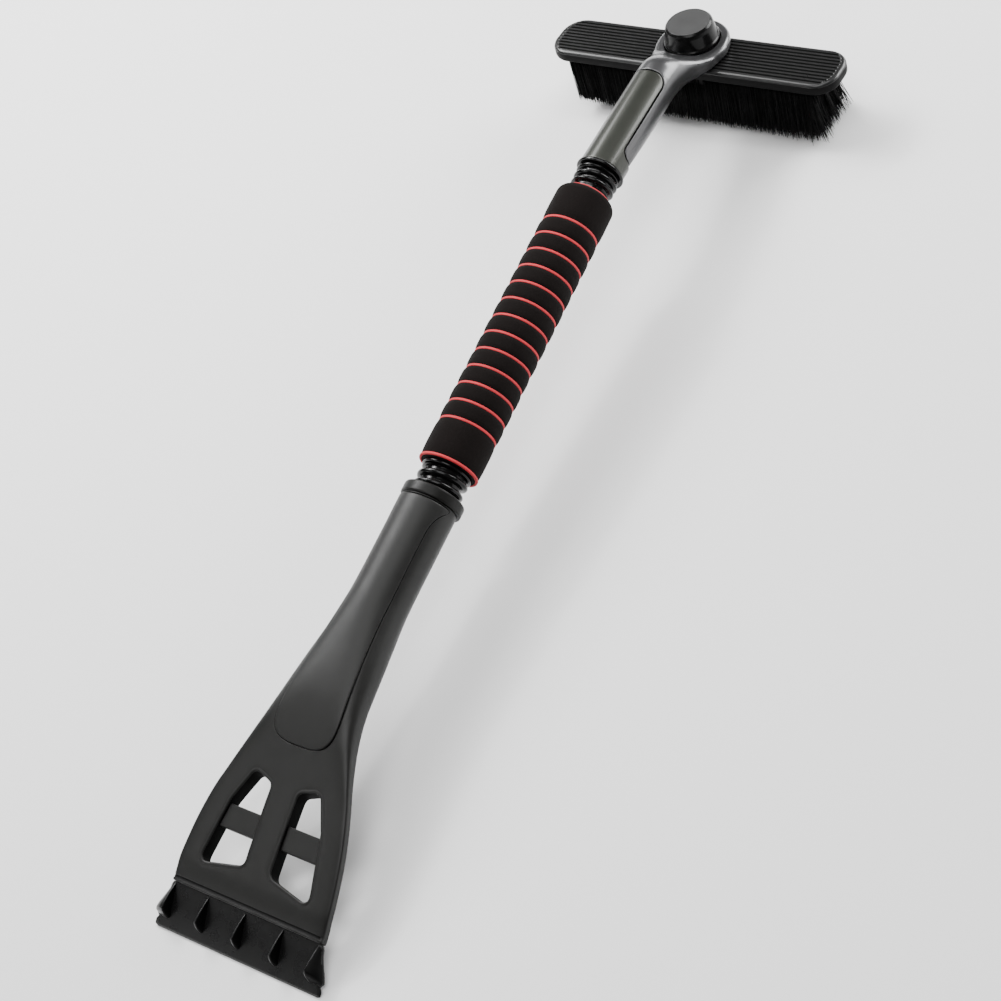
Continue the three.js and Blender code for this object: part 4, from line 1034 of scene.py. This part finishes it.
def painted_shade_on_arm(p):
    """Whether a face of the arm gets painted shade: inside the inlay's seat, or in the recess under the
    button.
    """
    along, radius, around, up, *_ = arm_coordinates(p.x, p.y, p.z)
    if 9 < along < 76 and up > 0 and radius < ARM_R - 0.3:
        return int(inlay_outline(along, around) < 0.82)
    return int(math.hypot(p.x, p.y) < 18.7 and -7.5 < p.z < -0.45)


make("brush_arm_shell", *skin_of(arm_field, *ARM_SPAN, ARM_STEP), HEAD, "brush_arm",
     [ARM_PAINT, PAINTED_SHADE], ["arm_shell"], "arm_grey", material_of=painted_shade_on_arm)
make("arm_inlay_sleeve", *skin_of(sleeve_field, *SLEEVE_SPAN, ARM_STEP), HEAD, "brush_arm", [INLAY],
     ["arm_sleeve"], "inlay_grey")

SEAL_BORE_R, SEAL_R = 9.95, 15.4
SEAL_START, SEAL_END = 116, 118.2
seal = rounded([(SEAL_START, SEAL_BORE_R, 0.2), (SEAL_START, SEAL_R, 0.9), (SEAL_END, SEAL_R, 0.9),
                (SEAL_END, SEAL_BORE_R, 0.2)], 5)
make("arm_seal", *turned(seal), POLE, "upper_ring", [GLOSS], ["arm_seal_ring"], "gloss_black")

# ------------------------------------------------------------------ button and its spring

BUTTON_TOP_Z = 14
BUTTON_FACE_R = 13.95
BUTTON_LEGS = 3
LEG_R = 1.5
LEG_LOW = -4.3
LEG_PLACE_R = 10.2
button = rounded([
    (0.7, 15.0, 0.2), (0.7, 18.0, 0.3), (1.9, 18.0, 0.7), (2.9, 17.1, 0.8),
    (BUTTON_TOP_Z - 3.6, 15.9, 1.5), (BUTTON_TOP_Z - 1.3, 15.3, 0.8), (BUTTON_TOP_Z, 14.1, 0.4),
    (BUTTON_TOP_Z - 0.1, 12.6, 0.3), (BUTTON_TOP_Z - 0.1, 0, 0), (BUTTON_TOP_Z - 2.4, 0, 0),
    (BUTTON_TOP_Z - 2.4, 13, 0.5)], 5)
parts = [turned(button, 128)]
leg_top = BUTTON_TOP_Z - 2.2
for i in range(BUTTON_LEGS):
    angle = 2 * math.pi * (i + 0.5) / BUTTON_LEGS
    leg, leg_faces = turned([(LEG_LOW, 0), (LEG_LOW, LEG_R), (leg_top, LEG_R), (leg_top, 0)], 20)
    # the turned axis X stands up along Z, so the leg's offset is in its Y and minus Z
    offset = np.array([0, LEG_PLACE_R * math.sin(angle), -LEG_PLACE_R * math.cos(angle)])
    parts.append((leg + offset, leg_faces))
make("lock_button_cap", *joined(*parts), HEAD @ X_TO_Z, "button", [FLANK, BUTTON_TOP],
     ["lock_button"], "button_grey", sharp=40,
     material_of=lambda p: int(p.x > BUTTON_TOP_Z - 1.0 and math.hypot(p.y, p.z) < BUTTON_FACE_R))

SPRING_LOW, SPRING_HIGH = -18.4, -6.6
SPRING_R, SPRING_TURNS, WIRE_R = 6.9, 4, 0.6
t = np.linspace(0, 1, 240)
turn = 2 * np.pi * SPRING_TURNS * t
path = np.column_stack([SPRING_R * np.cos(turn), SPRING_R * np.sin(turn),
                        SPRING_LOW + 1 + (SPRING_HIGH - SPRING_LOW - 2) * t])
tangent = np.gradient(path, axis=0)
tangent /= np.linalg.norm(tangent, axis=1)[:, None]
radial = path * (1, 1, 0) / SPRING_R
normal = np.cross(tangent, radial)
around = full_turn(10)[None, :, None]
tube = path[:, None] + WIRE_R * (np.cos(around) * radial[:, None] + np.sin(around) * normal[:, None])
spring = make("return_spring", *lofted(tube), HEAD, "brush_arm", [STEEL], ["button_spring"], "steel")
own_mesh(spring)

# ------------------------------------------------------------------ brush plate

PLATE_TOP = -8.6
PLATE_HALF_LENGTH = 103
PLATE_HALF_WIDTH = 18.7
PLATE_CORNER = 15
PLATE_THICK = 7.6
RIM_ROUND = 2.4
GROOVES = 10
GROOVE_PITCH = 3.1
GROOVE_HALF = 0.75
GROOVE_DEPTH = 1.05
BLOCK_HALF_LENGTH = 90
BLOCK_HALF_WIDTH = 16.5


def plate_end(x):
    """Half length of the plate at x, round at its corners."""
    over = np.maximum(np.abs(x) - (PLATE_HALF_WIDTH - PLATE_CORNER), 0)
    return PLATE_HALF_LENGTH - PLATE_CORNER + np.sqrt(np.maximum(PLATE_CORNER**2 - over**2, 0))


def plate_edge(x, y):
    """Distance in from the plate's outline, and the outline's outward direction."""
    u = np.abs(x) - (PLATE_HALF_WIDTH - PLATE_CORNER)
    v = np.abs(y) - (PLATE_HALF_LENGTH - PLATE_CORNER)
    corner = (u > 0) & (v > 0)
    inner = np.maximum(u, v)
    distance = PLATE_CORNER - np.where(corner, np.hypot(u, v), inner)
    direction = np.where(corner[..., None], np.stack([u, v], -1),
                         np.stack([u >= v, u < v], -1).astype(float))
    direction /= np.maximum(np.linalg.norm(direction, axis=-1), 1e-9)[..., None]
    return distance, direction * np.stack([np.sign(x), np.sign(y)], -1)


def build_plate():
    """The ribbed top as a grid, then its rim, wall and underside as rings round its outline."""
    centres = (np.arange(GROOVES) - (GROOVES - 1) / 2) * GROOVE_PITCH
    offsets = np.array([-1.0, -0.85, -0.6, -0.35, 0, 0.35, 0.6, 0.85, 1.0]) * GROOVE_HALF
    rim = PLATE_HALF_WIDTH - np.array([0, 0.06, 0.2, 0.5, 0.95, 1.5, 2.4])
    xs = np.unique(np.concatenate([(centres[:, None] + offsets).ravel(), centres[:-1] + GROOVE_PITCH / 2,
                                   rim, -rim]))
    ends = np.array([0, 0.06, 0.2, 0.5, 0.95, 1.6, 2.4, 3.2, 3.9, 4.2, 4.5, 4.8, 5.2, 6])
    inner = np.linspace(0, 1, 17)[1:-1]
    rows = []
    for x in xs:
        end = plate_end(x)
        outer = np.minimum(ends, end * 0.3)
        y = np.concatenate([-end + outer, -(end - 6) + 2 * (end - 6) * inner, (end - outer)[::-1]])
        near = np.min(np.abs(centres - x))
        side_wall = smooth_step(np.clip((GROOVE_HALF - near) / 0.22, 0, 1))
        run_out = smooth_step(np.clip((end - np.abs(y) - 3.4) / 1.2, 0, 1))
        depth = GROOVE_DEPTH * side_wall * run_out
        distance, _ = plate_edge(np.full(len(y), x), y)
        into = np.clip(1 - distance / RIM_ROUND, 0, 1)
        fall = RIM_ROUND * (1 - np.sqrt(1 - into**2))
        rows.append(np.column_stack([np.full(len(y), x), y, PLATE_TOP - depth - fall]))
    grid = np.array(rows)
    r, c = grid.shape[:2]
    index = np.arange(r * c).reshape(r, c)
    loop = np.concatenate([index[0, :], index[1:, -1], index[-1, -2::-1], index[-2:0:-1, 0]])
    flat = grid.reshape(-1, 3)
    border = flat[loop]
    _, out = plate_edge(border[:, 0], border[:, 1])
    bottom = PLATE_TOP - PLATE_THICK
    faces = [*grid_faces(r, c)]
    points, count, ring = [flat], len(flat), loop
    for inset, z in ((0, bottom + 1.2), (0.35, bottom + 0.35), (1.2, bottom), (2.0, bottom),
                     (2.2, bottom + 0.3), (2.2, PLATE_TOP - 3.8)):
        points.append(np.column_stack([border[:, :2] - out * inset, np.full(len(border), z)]))
        new = np.arange(count, count + len(border))
        faces += list(strip(ring, new))
        ring, count = new, count + len(border)
    faces.append(list(ring))
    return np.vstack(points), faces


# The plate's wall and underside get painted shade.
make("ribbed_plate", *build_plate(), HEAD, "brush_head", [PLATE, PAINTED_SHADE], ["brush_plate"],
     "black_plastic", sharp=60, material_of=lambda p: int(p.z < PLATE_TOP - RIM_ROUND * 0.8))

# ------------------------------------------------------------------ bristles

BLOCK_TOP = PLATE_TOP - 4.3
BLOCK_SHOULDER = -16.6
BLOCK_LOW = -22.4


BLOCK_NEAR = 21.8  # from the middle to each end's inner side
BLOCK_FLOOR_TOP = -20.9
BLOCK_TAPER = 4.2


def build_block():
    """The block that holds the tufts: two ends, and a thin floor between them under the hub."""
    def ring(inset, near, far, corner, z):
        width = BLOCK_HALF_WIDTH - inset
        line = rounded([(-width, near, 1), (width, near, 1), (width, far - inset, corner),
                        (-width, far - inset, corner)], 6)
        return np.column_stack([line, np.full(len(line), z)])
    levels = ((0.4, BLOCK_TOP), (0, BLOCK_TOP - 0.4), (0, BLOCK_SHOULDER),
              (BLOCK_TAPER - 0.6, BLOCK_LOW + 0.4), (BLOCK_TAPER, BLOCK_LOW))
    end, faces = lofted([ring(d, BLOCK_NEAR, BLOCK_HALF_LENGTH, 5, z) for d, z in levels])
    half, reach = BLOCK_HALF_WIDTH - BLOCK_TAPER, BLOCK_NEAR + 0.7
    under = lofted([np.array([(-half, -reach, z), (half, -reach, z), (half, reach, z), (-half, reach, z)])
                    for z in (BLOCK_FLOOR_TOP, BLOCK_LOW)])
    return joined((end, faces), (end * (-1, -1, 1), faces), under)


make("tuft_block", *build_block(), HEAD, "brush_head", [BLACK], ["bristle_block"], "black_plastic",
     sharp=40)


def floor_height(x):
    """Height in HEAD of the surface that the tool lies on."""
    into_head = HEAD.inverted()
    at = into_head @ Vector((0, 0, 0))
    up = (into_head.to_3x3() @ Vector((0, 0, 1))).normalized()
    return at.z - (x - at.x) * up.x / up.z


TUFTS, STRANDS = 43, 90  # tufts in a row, strands in a tuft
TUFT_END = 86
STRAND_RINGS = ((0, 0.30), (0.5, 0.29), (0.85, 0.24), (1.0, 0.12))  # share of the length, radius


def build_bristles(row, rows):
    """Tufts along one row: strands that fan out a little and splay at the brush's -Y end."""
    x0 = np.linspace(-14.6, 14.6, rows)[row]
    y0 = np.linspace(-TUFT_END, TUFT_END, TUFTS)
    tuft = np.repeat(np.arange(TUFTS), STRANDS)
    count = len(tuft)
    spot = random.normal(0, 1.2, (count, 2)).clip(-2.5, 2.5)
    root = np.column_stack([x0 + spot[:, 0], y0[tuft] + spot[:, 1], np.zeros(count)])
    slope = 3.6  # the block's underside slopes up over this width at its edge
    inset = np.maximum(np.abs(root[:, 0]) - (BLOCK_HALF_WIDTH - slope),
                       np.abs(root[:, 1]) - (BLOCK_HALF_LENGTH - slope))
    low = BLOCK_LOW + 0.6
    root[:, 2] = low + np.clip(inset, 0, slope) / slope * (BLOCK_SHOULDER - BLOCK_LOW - 0.6)
    loose = np.clip((-root[:, 1] - 20) / 70, 0, 1) ** 1.5  # how splayed the brush is here
    end = np.abs(root[:, 1]) / TUFT_END
    lean = spot * (0.7 + 0.9 * loose[:, None])
    lean += random.normal(0, 1, (count, 2)) * (0.25 + 1.0 * loose[:, None])
    lean[:, 0] += x0 * 0.08
    lean[:, 1] -= loose * 3.5 * end**2
    lean[:, 1] -= np.where(root[:, 1] > 0, 3.2 * end**2, 0)
    tip_z = np.interp(root[:, 1], [-TUFT_END, -40, 30, TUFT_END], [-49.6, -49.8, -48.6, -46.2])
    tip_z += random.normal(0, 1, count) * (0.15 + 1.2 * loose)
    tip_z += 1.2 * np.abs(random.normal(0, 1, count)) * loose
    tip = np.column_stack([root[:, 0] + lean[:, 0], root[:, 1] + lean[:, 1], tip_z])
    tip[:, 1] = tip[:, 1].clip(-PLATE_HALF_LENGTH + 0.3, PLATE_HALF_LENGTH)
    tip[:, 2] = np.maximum(tip[:, 2], floor_height(tip[:, 0]) + 0.4)
    curl = random.normal(0, 0.5, (count, 2)) * (0.4 + loose[:, None])
    turn = random.uniform(0, 2 * np.pi, count)
    rings = []
    for s, w in STRAND_RINGS:
        centre = root + (tip - root) * [1, 1, 0] * s**1.6 + (tip - root) * [0, 0, s]
        centre[:, :2] += curl * math.sin(math.pi * s)
        for k in range(3):
            a = turn + 2 * np.pi * k / 3
            rings.append(centre + w * np.column_stack([np.cos(a), np.sin(a), np.zeros(count)]))
    points = np.stack(rings, axis=1).reshape(-1, 3)  # strand by strand: 4 rings of 3
    base = np.arange(count)[:, None, None] * 12
    quads = np.array([[3 * i + k, 3 * i + (k + 1) % 3, 3 * i + 3 + (k + 1) % 3, 3 * i + 3 + k]
                      for i in range(3) for k in range(3)])
    faces = [*(base + quads[None]).reshape(-1, 4), *(base[:, 0] + np.array([[9, 10, 11]])),
             *(base[:, 0] + np.array([[2, 1, 0]]))]
    return points, faces


BRISTLE_ROWS = 5
for row in range(BRISTLE_ROWS):
    make(f"tuft_row_{row + 1}", *build_bristles(row, BRISTLE_ROWS), HEAD, "brush_head", [BRISTLE],
         [f"bristle_row_{row + 1}"], "bristle")

# ------------------------------------------------------------------ CAD nodes that stay

STEEL_NODES = """lower_plug_pin upper_plug_pin tongue_screw blade_screw_1 blade_screw_2 blade_screw_3
    sleeve_screw_1 sleeve_screw_2 lock_gear pivot_retainer pivot_screw block_screw_1 block_screw_2
    block_screw_3 block_screw_4"""
for names, material in (("pole_tube", ALUMINIUM), ("swivel_hub", PAINTED_SHADE), (STEEL_NODES, STEEL)):
    for name in names.split():
        node = frame["nodes"][name]
        node.data.materials.clear()
        node.data.materials.append(material)

# ------------------------------------------------------------------ floor, lights and camera

FLOOR_HALF = 3.0
floor_mesh = bpy.data.meshes.new("floor")
corners = ((-1, -1), (1, -1), (1, 1), (-1, 1))
floor_mesh.from_pydata([(x * FLOOR_HALF, y * FLOOR_HALF, 0) for x, y in corners], [], [(0, 1, 2, 3)])
floor_mesh.materials.append(surface("pale_floor", (0.86, 0.86, 0.86), 0.75, grain=60, bump=0.0,
                                    spread=0.01, mottle=2))
floor = bpy.data.objects.new("floor", floor_mesh)
floor.location.z = -0.0002
bpy.context.scene.collection.objects.link(floor)

world = bpy.data.worlds.new("studio")
world.use_nodes = True
world.node_tree.nodes["Background"].inputs["Color"].default_value = (1, 1, 1, 1)
world.node_tree.nodes["Background"].inputs["Strength"].default_value = 0.2
bpy.context.scene.world = world


def softbox(name, place, target, size, power):
    """A square area light at a place, in metres, that faces a target."""
    data = bpy.data.lights.new(name, "AREA")
    data.shape = "RECTANGLE"
    data.size, data.size_y = size
    data.energy = power
    lamp = bpy.data.objects.new(name, data)
    lamp.location = place
    lamp.rotation_euler = (Vector(target) - Vector(place)).to_track_quat("-Z", "Y").to_euler()
    bpy.context.scene.collection.objects.link(lamp)


softbox("key", (0.55, 1.0, 1.05), (0.1, 0, 0), (1.2, 0.7), 34)
softbox("glint", (0.55, 1.0, 1.05), (0, 0, 0), (0.45, 0.1), 11)
softbox("sheen", (-0.75, 0.72, 1.0), (-0.22, 0, 0.05), (0.35, 0.3), 2.2)
softbox("top", (-0.3, -0.3, 1.6), (-0.25, 0, 0), (0.9, 0.9), 15)
softbox("strip", (0.75, 0.1, 1.5), (0.1, 0, 0), (1.6, 0.25), 14)
softbox("rim_right", (1.35, -0.7, 0.42), (0.25, 0, 0.05), (1.0, 0.6), 32)
softbox("edge_left", (-1.4, 0.75, 0.34), (-0.35, 0, 0), (0.9, 0.3), 5)

CAMERA_PLACE = (-0.4533, -0.6106, 0.9326)
AZIMUTH, ELEVATION, ROLL = math.radians(-35.69), math.radians(51.45), math.radians(-31.94)
LENS = 71.56

back_axis = Vector((math.sin(AZIMUTH) * math.cos(ELEVATION), -math.cos(AZIMUTH) * math.cos(ELEVATION),
                    math.sin(ELEVATION)))
level = Vector((math.cos(AZIMUTH), math.sin(AZIMUTH), 0))
upright = back_axis.cross(level)
right = level * math.cos(ROLL) + upright * math.sin(ROLL)
camera_data = bpy.data.cameras.new("camera")
camera_data.lens, camera_data.sensor_width = LENS, 36
camera_data.clip_start, camera_data.clip_end = 0.05, 50
camera = bpy.data.objects.new("camera", camera_data)
camera.matrix_world = Matrix((right, back_axis.cross(right), back_axis)).transposed().to_4x4()
camera.location = CAMERA_PLACE
bpy.context.scene.collection.objects.link(camera)
bpy.context.scene.camera = camera
